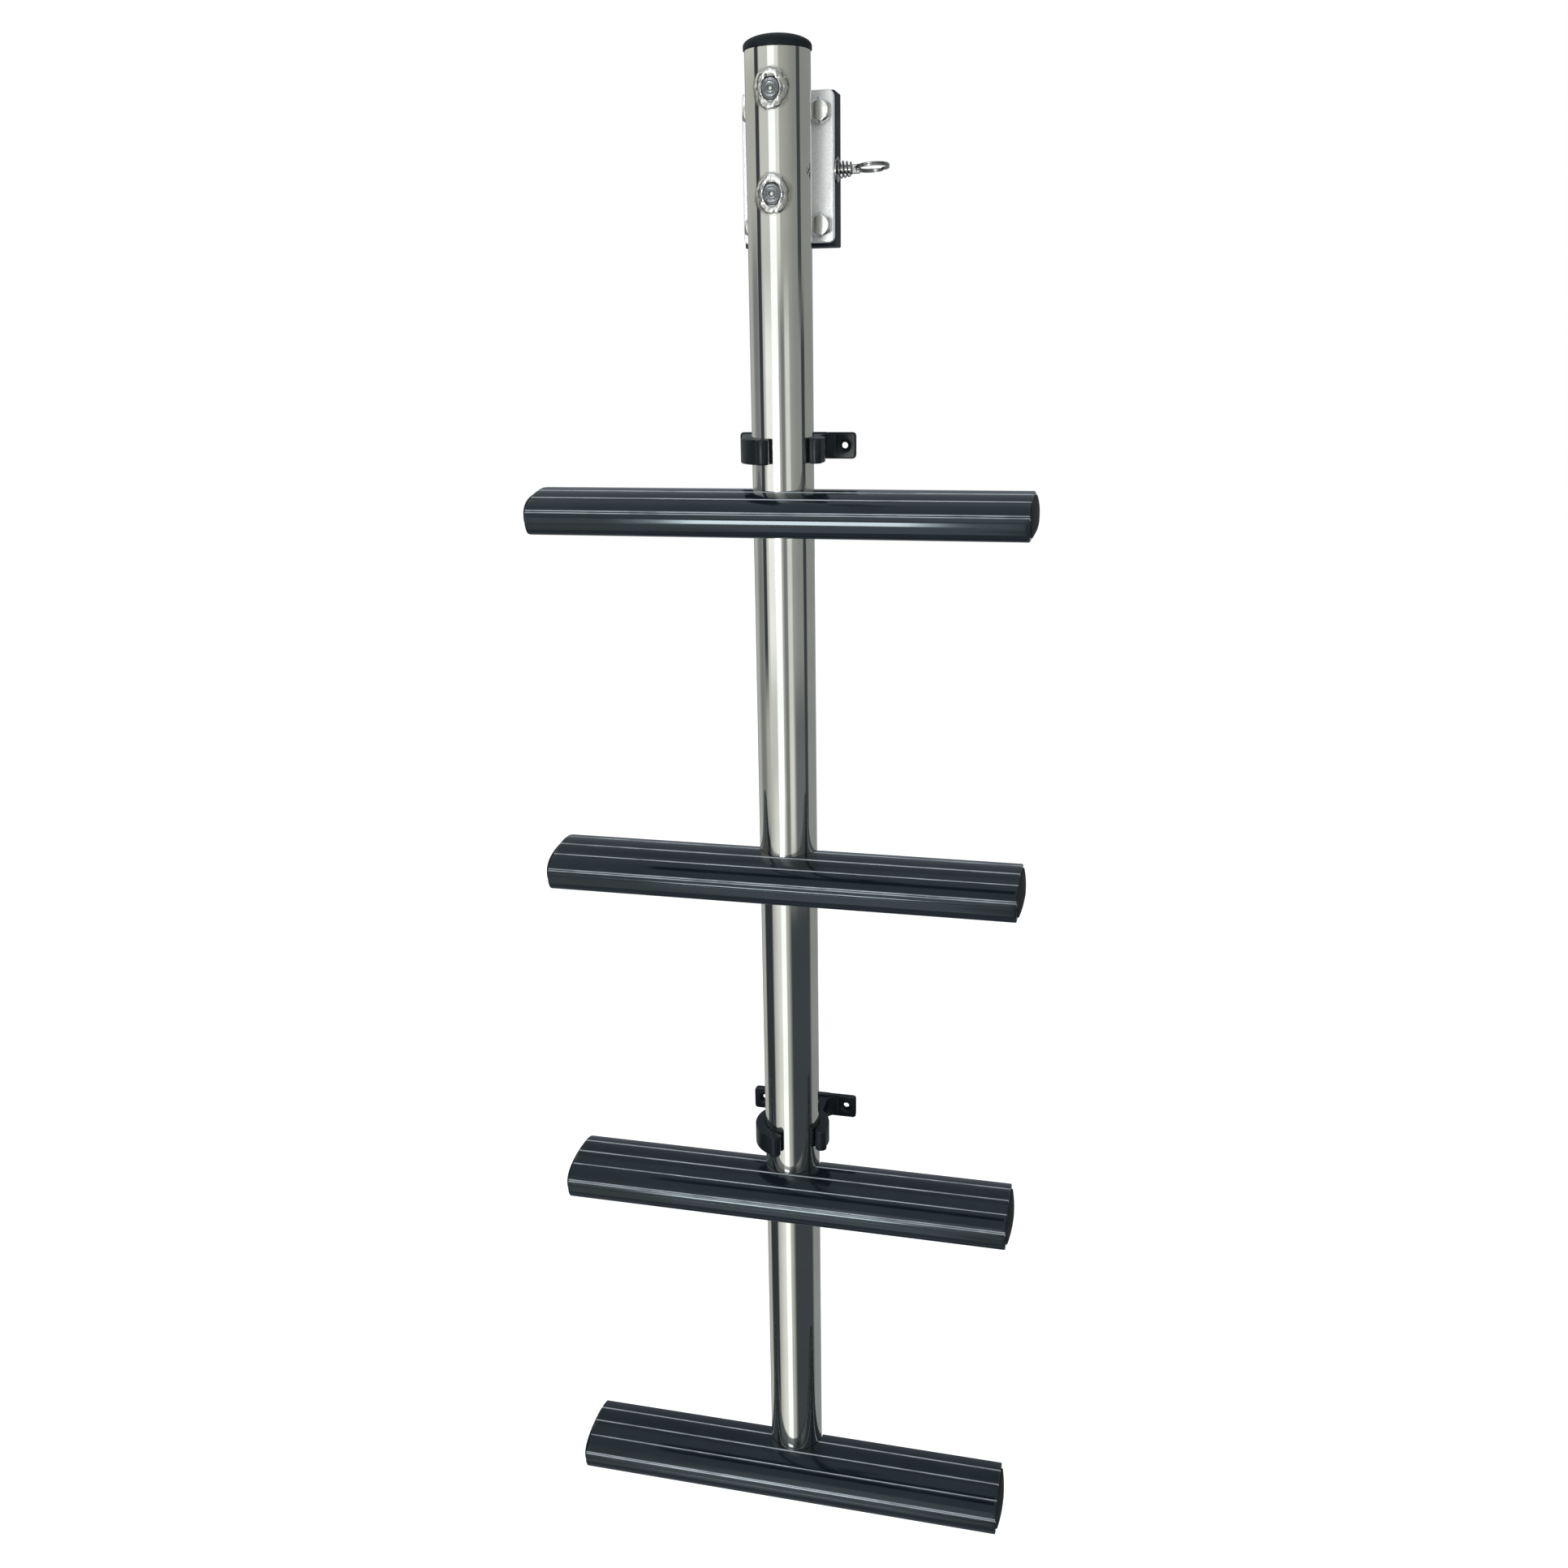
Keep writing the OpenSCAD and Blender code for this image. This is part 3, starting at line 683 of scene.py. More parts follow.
@dataclass(frozen=True)
class RodEndShadowSteel(Steel):
    """Steel that is darker grey on the rod's end face, with a black ring
    painted beside the beads as the shadow between rod and bead.

    The distances from the rod end's middle, in metres, say where the black
    ring of painted shadow starts, is full, fades, and ends.
    """

    # Darker grey of the rod's end face.
    grey: tuple[float, ...] = (0.31, 0.32, 0.34, 1)
    # Painted shadow between the rod and the bead.
    painted_shadow: tuple[float, ...] = (0.05, 0.05, 0.055, 1)
    ring: tuple[float, float, float, float] = (0.0052, 0.0072, 0.009, 0.011)

    def rod_end_shade(self, tree: Tree, where: Socket, colour: Socket) -> Socket:
        """Darkens the colour near the rod's front end: grey on its face, then black beside the bead as a
        painted shadow.

        Args:
            tree: The material's tree.
            where: The object coordinates.
            colour: The clean steel's colour.

        Returns:
            The stained colour.
        """
        gap = weld_gap(tree, where, 0.002)
        # Grey at the middle, then black as a painted shadow towards the bead.
        end_and_shadow = tree.mix(tree.ramp(gap, *self.ring[:2]), self.grey, self.painted_shadow)
        return tree.times(colour, tree.mix(tree.ramp(gap, *self.ring[2:]), end_and_shadow, (1, 1, 1, 1)))


@dataclass(frozen=True)
class ExtrudedPlastic(Finish):
    """Glossy extruded plastic with fine lines along the tread.

    The shoulders behind the grooves get a painted highlight, a paler
    colour where they face up: fully within the first width of their
    middle, and not at all past the second.
    """

    # Painted highlight colour of the lit groove shoulders.
    ridge_highlight: tuple[float, ...] = (0.34, 0.38, 0.41, 1)
    highlight_back: float = 0.25
    highlight_widths: tuple[float, float] = (0.2, 0.45)
    # Paler colour of sharp edges: partly edge wear, partly a painted highlight.
    edge: tuple[float, ...] = (0.06, 0.07, 0.08, 1)
    tint: tuple[float, ...] = (0.8, 0.93, 1.0, 1)
    line_depth: float = 0.006

    def ridge_highlight_mask(self, tree: Tree, where: Socket) -> Socket:
        """The mask of the painted ridge highlights, on faces that look up, broken by noise.

        Args:
            tree: The material's tree.
            where: The object coordinates.

        Returns:
            The mask's socket.
        """
        y = tree.add("SeparateXYZ", {0: where}).outputs["Y"]
        facing = tree.add("SeparateXYZ", {0: tree.add("TexCoord").outputs["Normal"]}).outputs["Z"]
        near, far = (width * MM for width in self.highlight_widths)
        mask = 0.0
        for ahead in LAYOUT.grooves:
            middle = (LAYOUT.tube_y - ahead + self.highlight_back) * MM
            gap = tree.math("ABSOLUTE", tree.math("SUBTRACT", y, middle))
            mask = tree.math("MAXIMUM", mask, tree.ramp(gap, near, far, 1.0, 0.0))
        # Only faces that look up, towards the light, get the painted highlight.
        mask = tree.math("MULTIPLY", mask, tree.ramp(facing, -0.1, 0.15))
        return tree.math("MULTIPLY", mask, tree.ramp(tree.noise(where, 45.0, 4.0), 0.3, 0.6, 0.55, 1.0))

    def dress(self, tree: Tree, where: Socket) -> Inputs:
        """Adds die lines along X, a fine grain, smears, paler edges that are partly wear and partly a
        painted highlight, and painted ridge highlights.

        Args:
            tree: The material's tree.
            where: The object coordinates.

        Returns:
            Values and sockets for the shader's inputs.
        """
        lines = tree.group(Effect.LINES, {"Vector": where, "Stretch": (0.008, 1, 1), "Scale": 1300.0})
        grain = tree.group(Effect.GRAIN, {"Vector": where, "Scale": 2200.0, "Coarse": 0.2})
        smears = self.patches(tree, where, 30.0, 1.35)
        wear = tree.group(Effect.WEAR, {"Vector": where, "Start": 0.51, "Full": 0.58})["Mask"]
        # Sharp edges paler: partly edge wear, partly a painted highlight.
        colour = tree.mix(tree.math("MULTIPLY", wear, 0.25), smears["Color"], self.edge)
        return {
            # The groove shoulders get the painted highlight colour.
            "Base Color": tree.mix(self.ridge_highlight_mask(tree, where), colour, self.ridge_highlight),
            "Roughness": tree.total(self.roughness, (lines["Mask"], 0.06), (smears["Mask"], 0.04)),
            "Specular Tint": self.tint,
            "Normal": tree.bump(tree.total(lines["Height"], (grain["Height"], 0.3)), self.line_depth),
        }


@dataclass(frozen=True)
class MouldedPlastic(Finish):
    """Moulded or machined black plastic with a fine leather-like grain."""

    gloss: float
    grain: float = 1500.0
    grain_depth: float = 0.02
    # Paler colour of sharp edges: partly edge wear, partly a painted highlight.
    edge: tuple[float, ...] = (0.08, 0.085, 0.09, 1)

    def dress(self, tree: Tree, where: Socket) -> Inputs:
        """Adds grain, smears, and paler edges that are partly wear and partly a painted highlight.

        Args:
            tree: The material's tree.
            where: The object coordinates.

        Returns:
            Values and sockets for the shader's inputs.
        """
        grain = tree.group(Effect.GRAIN, {"Vector": where, "Scale": self.grain, "Coarse": 0.6})
        smears = self.patches(tree, where, 55.0, 1.4)
        wear = tree.group(Effect.WEAR, {"Vector": where, "Start": 0.52, "Full": 0.6})["Mask"]
        return {
            # Sharp edges paler: partly edge wear, partly a painted highlight.
            "Base Color": tree.mix(tree.math("MULTIPLY", wear, 0.35), smears["Color"], self.edge),
            "Roughness": tree.total(self.roughness, (smears["Mask"], 0.1)),
            "Specular IOR Level": self.gloss,
            "Normal": tree.bump(grain["Height"], self.grain_depth),
        }


TUBE_STEEL = PolishedTube("polished_steel", (0.85, 0.855, 0.83), 0.03)
ROD_STEEL = RodEndShadowSteel(
    "turned_steel", (0.6, 0.61, 0.61), 0.26, grain=1400.0, grain_depth=0.003, sparkle=0.03, dark=0.9
)
WELD_STEEL = Steel(
    "weld_metal", (0.72, 0.72, 0.72), 0.14, grain=600.0, grain_depth=0.006, sparkle=0.02, dark=0.88
)
PLATE_STEEL = Steel(
    "brushed_steel",
    (0.97, 0.98, 0.98),
    0.3,
    grain=3200.0,
    grain_depth=0.02,
    sparkle=0.2,
    dark=0.96,
    metal=0.55,
)
BOLT_STEEL = Steel(
    "bolt_steel", (0.88, 0.88, 0.88), 0.15, grain=1500.0, grain_depth=0.004, sparkle=0.05, dark=0.9
)
BAR_STEEL = Steel("crossbar_steel", (0.66, 0.66, 0.66), 0.32, grain=1600.0, stretch=(0.01, 1, 1))
PIN_STEEL = Steel("pin_steel", (0.4, 0.4, 0.4), 0.2, grain=1800.0, grain_depth=0.006, stretch=(1, 0.4, 0.4))
WIRE_STEEL = Steel("wire_steel", (0.45, 0.45, 0.45), 0.16, grain=1800.0, grain_depth=0.006)
TREAD_PLASTIC = ExtrudedPlastic("tread_plastic", (0.006, 0.01, 0.013), 0.08)
CAP_PLASTIC = MouldedPlastic("cap_plastic", (0.006, 0.009, 0.011), 0.5, gloss=0.18)
BLOCK_PLASTIC = MouldedPlastic("block_plastic", (0.011, 0.014, 0.024), 0.42, gloss=0.1)
CLIP_PLASTIC = MouldedPlastic("clip_plastic", (0.007, 0.01, 0.013), 0.28, gloss=0.22)


def finish_piece(piece: Piece, finish: Finish, body: str, node: str) -> Piece:
    """Gives a new piece its finish and its body, and hides the node that it stands for.

    Args:
        piece: The new piece.
        finish: Its finish.
        body: The body that it moves with.
        node: The plain node that it replaces.

    Returns:
        The piece.
    """
    piece.data.materials.append(finish.material())
    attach(piece, body)
    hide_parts(node)
    return piece


def dress_node(node: Piece, finish: Finish) -> Piece:
    """Gives a node whose own shape is kept its finish.

    Args:
        node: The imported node.
        finish: Its finish.

    Returns:
        The node.
    """
    node.data.materials.clear()
    node.data.materials.append(finish.material())
    return node


# ---- the tube ----------------------------------------------------------


@dataclass
class CentreTube:
    """The tube and the plugs in its two ends."""

    edge: float = 0.4
    plug_lip: float = 0.75
    plug_rim: float = 2.2
    plug_dome: float = 6.4
    skirt: float = 12.0
    skirt_play: float = 0.05
    skirt_taper: tuple[float, float] = (0.35, 0.5)
    body: str = "ladder"

    def tube(self) -> Piece:
        """A wall turned about the tube's axis, with its outer edges rounded.

        Returns:
            The tube.
        """
        r, bore, edge = LAYOUT.tube_r, LAYOUT.bore_r, self.edge
        low, high = LAYOUT.tube_bottom, LAYOUT.tube_top
        levels = np.linspace(low + 0.5, high - 0.5, 60)
        wall = np.stack([np.full_like(levels, r), levels], axis=1)
        bottom = arc((r - edge, low + edge), edge, -90, 0, 5)
        top = arc((r - edge, high - edge), edge, 0, 90, 5)
        profile = np.concatenate([bottom, wall, top, [[bore, high], [bore, low]]])
        shell = Shell("centre_tube").grid(lathe(profile, Axis.Z, (0, LAYOUT.tube_y, 0), 256), wrap=True)
        return finish_piece(shell.build(), TUBE_STEEL, self.body, "main_tube")

    def plug(self, name: str, node: str, base: float, up: int) -> Piece:
        """A domed plug: a skirt in the bore, a round rim, and a dome.

        The dome's radius is the rim's times cos w, and its height the
        dome's times sin w.

        Args:
            name: The piece's name.
            node: The node that it replaces.
            base: Where its rim rests, on Z.
            up: 1 for the top plug and -1 for the foot.

        Returns:
            The plug.
        """
        rim, fit = LAYOUT.tube_r + self.plug_lip, LAYOUT.bore_r - self.skirt_play
        w = np.linspace(0, np.pi / 2, 32)
        dome = np.stack([rim * np.cos(w), self.plug_rim + self.plug_dome * np.sin(w)], axis=1)
        lower = arc((rim - self.edge, self.edge), self.edge, -90, 0, 5)
        tip, taper = fit - self.skirt_taper[0], self.skirt_taper[1] - self.skirt
        skirt = [[0.0, -self.skirt], [tip, -self.skirt], [fit, taper], [fit, 0.0]]
        profile = np.concatenate([skirt, lower, dome]) * [1, up]
        shell = Shell(name).grid(lathe(profile, Axis.Z, (0, LAYOUT.tube_y, base), 128), lids=False)
        return finish_piece(shell.build(), CAP_PLASTIC, self.body, node)

    def build(self) -> list[Piece]:
        """Builds the tube and its two plugs.

        Returns:
            The three pieces.
        """
        return [
            self.tube(),
            self.plug("tube_top_plug", "top_plug", LAYOUT.tube_top, 1),
            self.plug("tube_foot_plug", "foot_plug", LAYOUT.tube_bottom, -1),
        ]


# ---- studs and welds ---------------------------------------------------


@dataclass
class HangingStud:
    """A rod through the tube, its turned end, and the weld beads round it.

    The bead's inner and outer ovals each have a half width and a half
    height, and within lap_w it laps over the rod, from lap_out outside it.
    """

    name: str
    node: str
    z: float
    seed: int
    rod_r: float = 6.35
    head_r: float = 11.0
    head_t: float = 7.0
    head_edge: float = 0.6
    proud: float = 0.4
    front_edge: float = 0.45
    mark_r: float = 1.5
    mark_d: float = 1.1
    ring_d: float = 0.11
    ring_pitch: float = 1.9
    outer: tuple[float, float] = (9.7, 11.4)
    inner: tuple[float, float] = (4.7, 6.7)
    bead_h: float = 1.05
    bead_t: float = 0.6
    bead_sunk: float = 0.05
    lap_out: float = 1.0
    lap_w: float = 1.6
    body: str = "ladder"

    def rod(self) -> Piece:
        """The rod: fine rings round a centre mark, then the shaft and its head.

        At radius r the face lies back by a cone inside the mark, and past
        it by half of 1 - cos of the distance over the rings' pitch.

        Returns:
            The rod.
        """
        front = LAYOUT.tube_y - LAYOUT.tube_r - self.proud
        near = -LAYOUT.block_depth + (LAYOUT.channel_depth - self.head_t) / 2
        far, edge = near + self.head_t, self.front_edge
        r = np.linspace(0.0, self.rod_r - edge - 0.05, 60)
        past = r - self.mark_r
        mark = self.mark_d * np.clip(1 - r / self.mark_r, 0, 1)
        rings = self.ring_d * (1 - np.cos(past * CIRCLE / self.ring_pitch)) * (past > 0)
        face = np.stack([r, front + mark + rings], axis=1)
        rim = arc((self.rod_r - edge, front + edge), edge, -90, 0, 5)
        corners = np.array([[self.rod_r, near], [self.head_r, near], [self.head_r, far], [0.0, far]])
        profile = np.concatenate([face, rim, soften(corners, self.head_edge, closed=False)])
        shell = Shell(self.name).grid(lathe(profile, Axis.Y, (0, 0, self.z), 96), lids=False)
        return finish_piece(shell.build(40), ROD_STEEL, self.body, self.node)

    def bead(self, shell: Shell, facing: int) -> None:
        """Adds one bead to a shell.

        The bead lies on the tube: at angle a and across t from 0 to 1 its
        distance from the rod's middle runs from a tall oval, which laps over
        the rod's rim at its sides, to a ragged one. Its height over the tube,
        or over the rod's face inside its rim, rises steeply, as
        (1 - (1 - t)^4), and falls off late, as (1 - t^5), and waves slowly
        round the rod.

        Args:
            shell: The shell that it is added to.
            facing: -1 for the tube's front and 1 for its back.
        """
        rng = np.random.default_rng(self.seed + facing)
        a = np.linspace(0, CIRCLE, 260, endpoint=False)

        def waves(*terms: tuple[int, float]) -> Array:
            """A sum of sines round the rod, each of a count and a height."""
            return sum(h * rng.uniform(0.6, 1) * np.sin(n * a + rng.uniform(0, 6.28)) for n, h in terms)

        def oval(wide: float, tall: float) -> Array:
            """The distance from the middle to an oval, all round."""
            return 1 / np.sqrt((np.cos(a) / wide) ** 2 + (np.sin(a) / tall) ** 2)

        outer = oval(*self.outer) + waves((2, 0.3), (3, 0.4), (5, 0.3), (9, 0.25), (17, 0.16))
        inner = oval(*self.inner) + waves((3, 0.15), (6, 0.12), (11, 0.08))
        t = np.linspace(0, 1, 22)[:, None]
        rho = inner + t * (outer - inner)
        swell = 1 + waves((2, 0.12), (4, 0.16), (7, 0.14), (13, 0.08))
        swell = swell + 0.02 * np.sin(26 * a + 5 * t + waves((3, 1.5)))
        shape = (1 - (1 - t) ** 4) * (1 - t**5)
        height = self.bead_h * np.clip(swell, 0.5, 1.35) * shape - self.bead_sunk
        x, z = rho * np.cos(a), rho * np.sin(a)
        tube = np.sqrt(np.maximum(LAYOUT.tube_r**2 - x**2, 0))
        lap = np.clip((self.rod_r + self.lap_out - rho) / self.lap_w, 0, 1)
        y = tube + (LAYOUT.tube_r - tube) * lap * lap * (3 - 2 * lap) + height
        top = np.stack([x, LAYOUT.tube_y + facing * y, self.z + z], axis=-1)
        under = top[::-1].copy()
        under[..., 1] -= facing * (height[::-1] + self.bead_t)
        shell.grid(np.concatenate([top, under[1:-1]]), wrap=True)


@dataclass
class StudPair:
    """The two studs, and all their beads as one piece."""

    seeds: tuple[int, int] = (11, 23)

    def build(self) -> list[Piece]:
        """Builds both rods and the beads at the tube's front and back.

        Returns:
            The rods and the beads.
        """
        pieces, beads = [], Shell("stud_beads")
        for level, z, seed in zip(("upper", "lower"), LAYOUT.stud_z, self.seeds):
            stud = HangingStud(f"stud_{level}", f"{level}_stud", z, seed)
            pieces.append(stud.rod())
            stud.bead(beads, -1)
            stud.bead(beads, 1)
        return [*pieces, finish_piece(beads.build(60), WELD_STEEL, "ladder", "stud_welds")]


# ---- treads ------------------------------------------------------------


@dataclass
class Tread:
    """One extruded step with its grip grooves, bar and end caps.

    Sizes ahead of the tube's axis and above the nose line come first, then
    those of the grooves, the bar's seat, the notch round the tube, and the
    end caps.
    """

    number: int
    reach: float = 44.8
    rise: float = 15.7
    drop: float = 11.0
    back: float = 5.0
    peak: float = 10.0
    fall: float = 3.0
    tuck: float = 6.1
    bottom_round: float = 1.5
    nose_round: float = 2.0
    groove_w: float = 1.5
    groove_d: float = 0.75
    shoulder: float = 0.6
    step_d: float = 0.3
    climb: float = 6.0
    nose_d: float = 0.5
    nose_start: float = 0.4
    nose_climb: float = 0.7
    bar_r: float = 8.0
    bar_wall: float = 1.6
    bar_short: float = 14.0
    bar_edge: float = 0.4
    bar_at: tuple[float, float] = (7.5, 2.2)
    bar_play: float = 0.1
    slit: float = 12.6
    lip: float = 3.0
    notch_r: float = 19.35
    end_round: float = 0.9
    cap_rim: float = 1.0
    cap_bulge: float = 3.5
    cap_disc: float = 6.0
    cap_inset: float = 2.0
    cap_chin: tuple[tuple[float, float], ...] = ((0.0, 3.5), (1.0, 6.6), (3.0, 9.7))
    body: str = "ladder"

    @property
    def z(self) -> float:
        """Height of the nose line."""
        return LAYOUT.tread_z(self.number)

    def plain(self, q: Array) -> Array:
        """The crown without its grooves.

        Ahead of its highest line it is the oval u^1.9 + v^1.9 = 1 at the
        angle q, up to 90 degrees at the nose. Behind it, down to -60
        degrees at the back, it is a parabola that falls by q^2.

        Args:
            q: The angles in degrees.

        Returns:
            The points, as (forward, up).
        """
        power, turn = 1 / 0.95, np.radians(q.clip(0, 90))
        ahead = self.peak + (self.reach - self.peak) * np.sin(turn) ** power
        behind = self.peak + (self.back + self.peak) * q / 60
        oval = self.rise * np.cos(turn).clip(0) ** power
        sunk = self.rise - self.fall * (q / 60) ** 2
        return np.where(q > 0, [ahead, oval], [behind, sunk]).T

    def crown(self) -> Array:
        """The grooved crown, from the nose line up and back to the top edge.

        At each groove the land behind rounds off steeply, as a quarter of a
        circle of the shoulder's radius. The groove's floor then climbs to
        the land ahead, as depth * (1 - sin(90 s)) with s the distance over
        the groove's width, and that land starts a little low and meets the
        plain crown by its front edge. Below the lowest groove the nose's
        band lies back by a little. Of the many points that this is worked
        out on, most are kept at the shoulders and few on the plain lands.

        Returns:
            The points, as (forward, up).
        """
        plain = self.plain(np.concatenate([np.linspace(90, 0.1, 3000), np.linspace(0, -52, 1200)]))
        step = np.gradient(plain, axis=0)
        normal = np.stack([step[:, 1], -step[:, 0]], axis=1)
        normal /= np.linalg.norm(normal, axis=1, keepdims=True)
        normal *= np.sign(normal.sum(axis=1, keepdims=True))
        run = np.concatenate([[0], np.cumsum(np.linalg.norm(np.diff(plain, axis=0), axis=1))])
        spots = np.interp(LAYOUT.grooves, plain[::-1, 0], run[::-1])
        past = run[:, None] - spots
        left = self.shoulder - past.clip(0, self.shoulder)
        round_off = self.shoulder - np.sqrt(self.shoulder**2 - left**2)
        floor = self.groove_d * (1 - np.sin(np.pi / 2 * (-past / self.groove_w).clip(0, 1)))
        low = self.step_d * np.clip(1 + past / self.climb, 0, 1) ** 2
        depth = np.where(past >= 0, round_off, np.maximum(floor, low)).max(axis=1)
        band = np.clip((run - self.nose_start) / self.nose_climb, 0, 1)
        nose = self.nose_d * band * (run < spots[-1])
        cut = plain - np.maximum(depth, nose)[:, None] * normal
        near = ((past > -self.groove_w) & (past < self.shoulder + 0.1)).any(axis=1)
        sharp = ((past > -0.1) & (past < self.shoulder * 0.35)).any(axis=1)
        index = np.arange(len(plain))
        keep = index % np.where(sharp, 2, np.where(near, 8, 50)) == 0
        keep |= (run < 1.6) & (index % 14 == 0)
        keep[-1] = True
        return cut[keep]

    def outline(self, crown: Array) -> Array:
        """The closed section: lower back edge, bottom, nose, crown, upper back edge and seat.

        Args:
            crown: The grooved crown's points.

        Returns:
            The points, as (forward, up).
        """
        seat_r, half, back = self.bar_r + self.bar_play, self.slit / 2, -self.back
        low, high = self.bar_at[1] - half, self.bar_at[1] + half
        turn = math.degrees(math.asin(half / seat_r))
        seat = arc(self.bar_at, seat_r, 180 - turn, -180 + turn, 40)
        turned = back + self.bottom_round
        lower = [[back + self.lip, low], [back, low], [back, -self.drop], [turned, -self.drop]]
        flat = np.linspace(turned, self.reach - self.tuck - 1, 14)
        bottom = np.stack([flat, np.full_like(flat, -self.drop)], axis=1)
        shares = np.array([[1.0, 1.0], [0.5, 0.88], [0.16, 0.6], [0, 0.3], [0, 0]])
        chin = soften([self.reach, 0] - shares * [self.tuck, self.drop], self.nose_round, 7, closed=False)
        upper = [crown[-1], [back, self.rise - self.fall], [back, high], [back + self.lip, high]]
        top = soften(np.array(upper), np.array([1.0, 1.0, 0.7, 0.7]), 6, closed=False)
        lower = soften(np.array(lower), 0.7, 5, closed=False)
        return np.concatenate([lower, bottom[1:], chin[1:-1], crown, top[1:], seat])

    def stations(self) -> tuple[Array, Array]:
        """Places along X, closer by the notch and the ends, for the section's rows.

        Returns:
            The places, and how far the section is drawn in at each.
        """
        half = LAYOUT.tread_length / 2
        rise, draw = quarter(6)
        arm = np.linspace(half - 3, self.notch_r + 2, 18)
        notch = self.notch_r * np.sin(np.linspace(np.pi / 2, 0, 26))
        right = np.concatenate([half - self.end_round * rise, arm, notch])
        drawn = np.concatenate([self.end_round * draw, np.zeros(len(arm) + len(notch))])
        return np.concatenate([right, -right[-2::-1]]), np.concatenate([drawn, drawn[-2::-1]])

    def step(self) -> Piece:
        """The section carried along X; by the tube no point lies behind the notch's circle.

        Returns:
            The step.
        """
        crown = self.crown()
        outline = self.outline(crown)
        x, drawn = self.stations()
        rows = np.stack([inset(outline, depth) for depth in drawn])
        notch = np.sqrt(np.maximum(self.notch_r**2 - x**2, 0))
        notch[np.abs(x) >= self.notch_r] = -self.back - 1
        notch = notch[:, None]
        ahead, up = rows[..., 0], rows[..., 1]
        ceiling = np.interp(notch, crown[::-1, 0], crown[::-1, 1])
        up = np.where(ahead < notch, np.minimum(up, ceiling), up)
        points = place(Axis.X, LAYOUT.tube_y - np.maximum(ahead, notch), self.z + up, x[:, None])
        piece = Shell(f"step_{self.number}").grid(points).build(38)
        return finish_piece(piece, TREAD_PLASTIC, self.body, f"tread_{self.number}")

    def bar(self) -> Piece:
        """The bar inside the step: a turned tube with rounded ends.

        Returns:
            The bar.
        """
        half = LAYOUT.tread_length / 2 - self.bar_short
        r, bore = self.bar_r, self.bar_r - self.bar_wall
        profile = soften(np.array([[bore, -half], [r, -half], [r, half], [bore, half]]), self.bar_edge)
        centre = (0, LAYOUT.tube_y - self.bar_at[0], self.z + self.bar_at[1])
        piece = Shell(f"step_bar_{self.number}").grid(lathe(profile, Axis.X, centre, 64), wrap=True).build()
        return finish_piece(piece, BAR_STEEL, self.body, f"crossbar_{self.number}")

    def cap(self, side: Side) -> Piece:
        """An end cap: a rounded copy of the section, bulging like a lens.

        The cap's outline is the step's, drawn in towards its middle and
        rounded by a disc: for each direction the farthest point of the
        inner shape plus the disc's radius that way. Its chin's points lie
        back and down from the nose. The lens's rows shrink by k as they rise
        by 1 - k^2.

        Args:
            side: The end that it closes.

        Returns:
            The cap.
        """
        chin = [self.reach, 0] - np.array(self.cap_chin)
        foot = [[self.reach - self.tuck, -self.drop], [-self.back, -self.drop]]
        full = np.concatenate([self.plain(np.linspace(-60, 88, 60)), chin, foot])
        middle = np.array([self.reach - self.back, self.rise - self.drop]) / 2
        half = np.array([self.reach + self.back, self.rise + self.drop]) / 2
        inner = middle + (full - middle) * (half - self.cap_inset - self.cap_disc) / half
        angle = np.linspace(0, CIRCLE, 144, endpoint=False)
        aim = np.stack([np.cos(angle), np.sin(angle)], axis=1)
        rim = inner[np.argmax(aim @ inner.T, axis=1)] + self.cap_disc * aim - middle
        k = np.sin(np.linspace(np.pi / 2 - 0.17, 0, 16))
        lens = np.stack([self.cap_rim + (self.cap_bulge - self.cap_rim) * (1 - k * k), k], axis=1)
        edge = np.array([[0.0, 1.0], [self.cap_rim * 0.6, 1.0], [self.cap_rim * 0.85, 0.995]])
        out, share = np.concatenate([edge, lens]).T[..., None]
        ahead, up = (middle + rim * share[..., None]).transpose(2, 0, 1)
        x = side.value * (LAYOUT.tread_length / 2 + out)
        name = side.name.lower()
        shell = Shell(f"{name}_end_cap_{self.number}")
        shell.grid(place(Axis.X, LAYOUT.tube_y - ahead, self.z + up, x))
        return finish_piece(shell.build(40), CAP_PLASTIC, self.body, f"{name}_cap_{self.number}")

    def build(self) -> list[Piece]:
        """Builds the step, its bar and its two end caps."""
        return [self.step(), self.bar(), self.cap(Side.LEFT), self.cap(Side.RIGHT)]


# ---- transom bracket ---------------------------------------------------


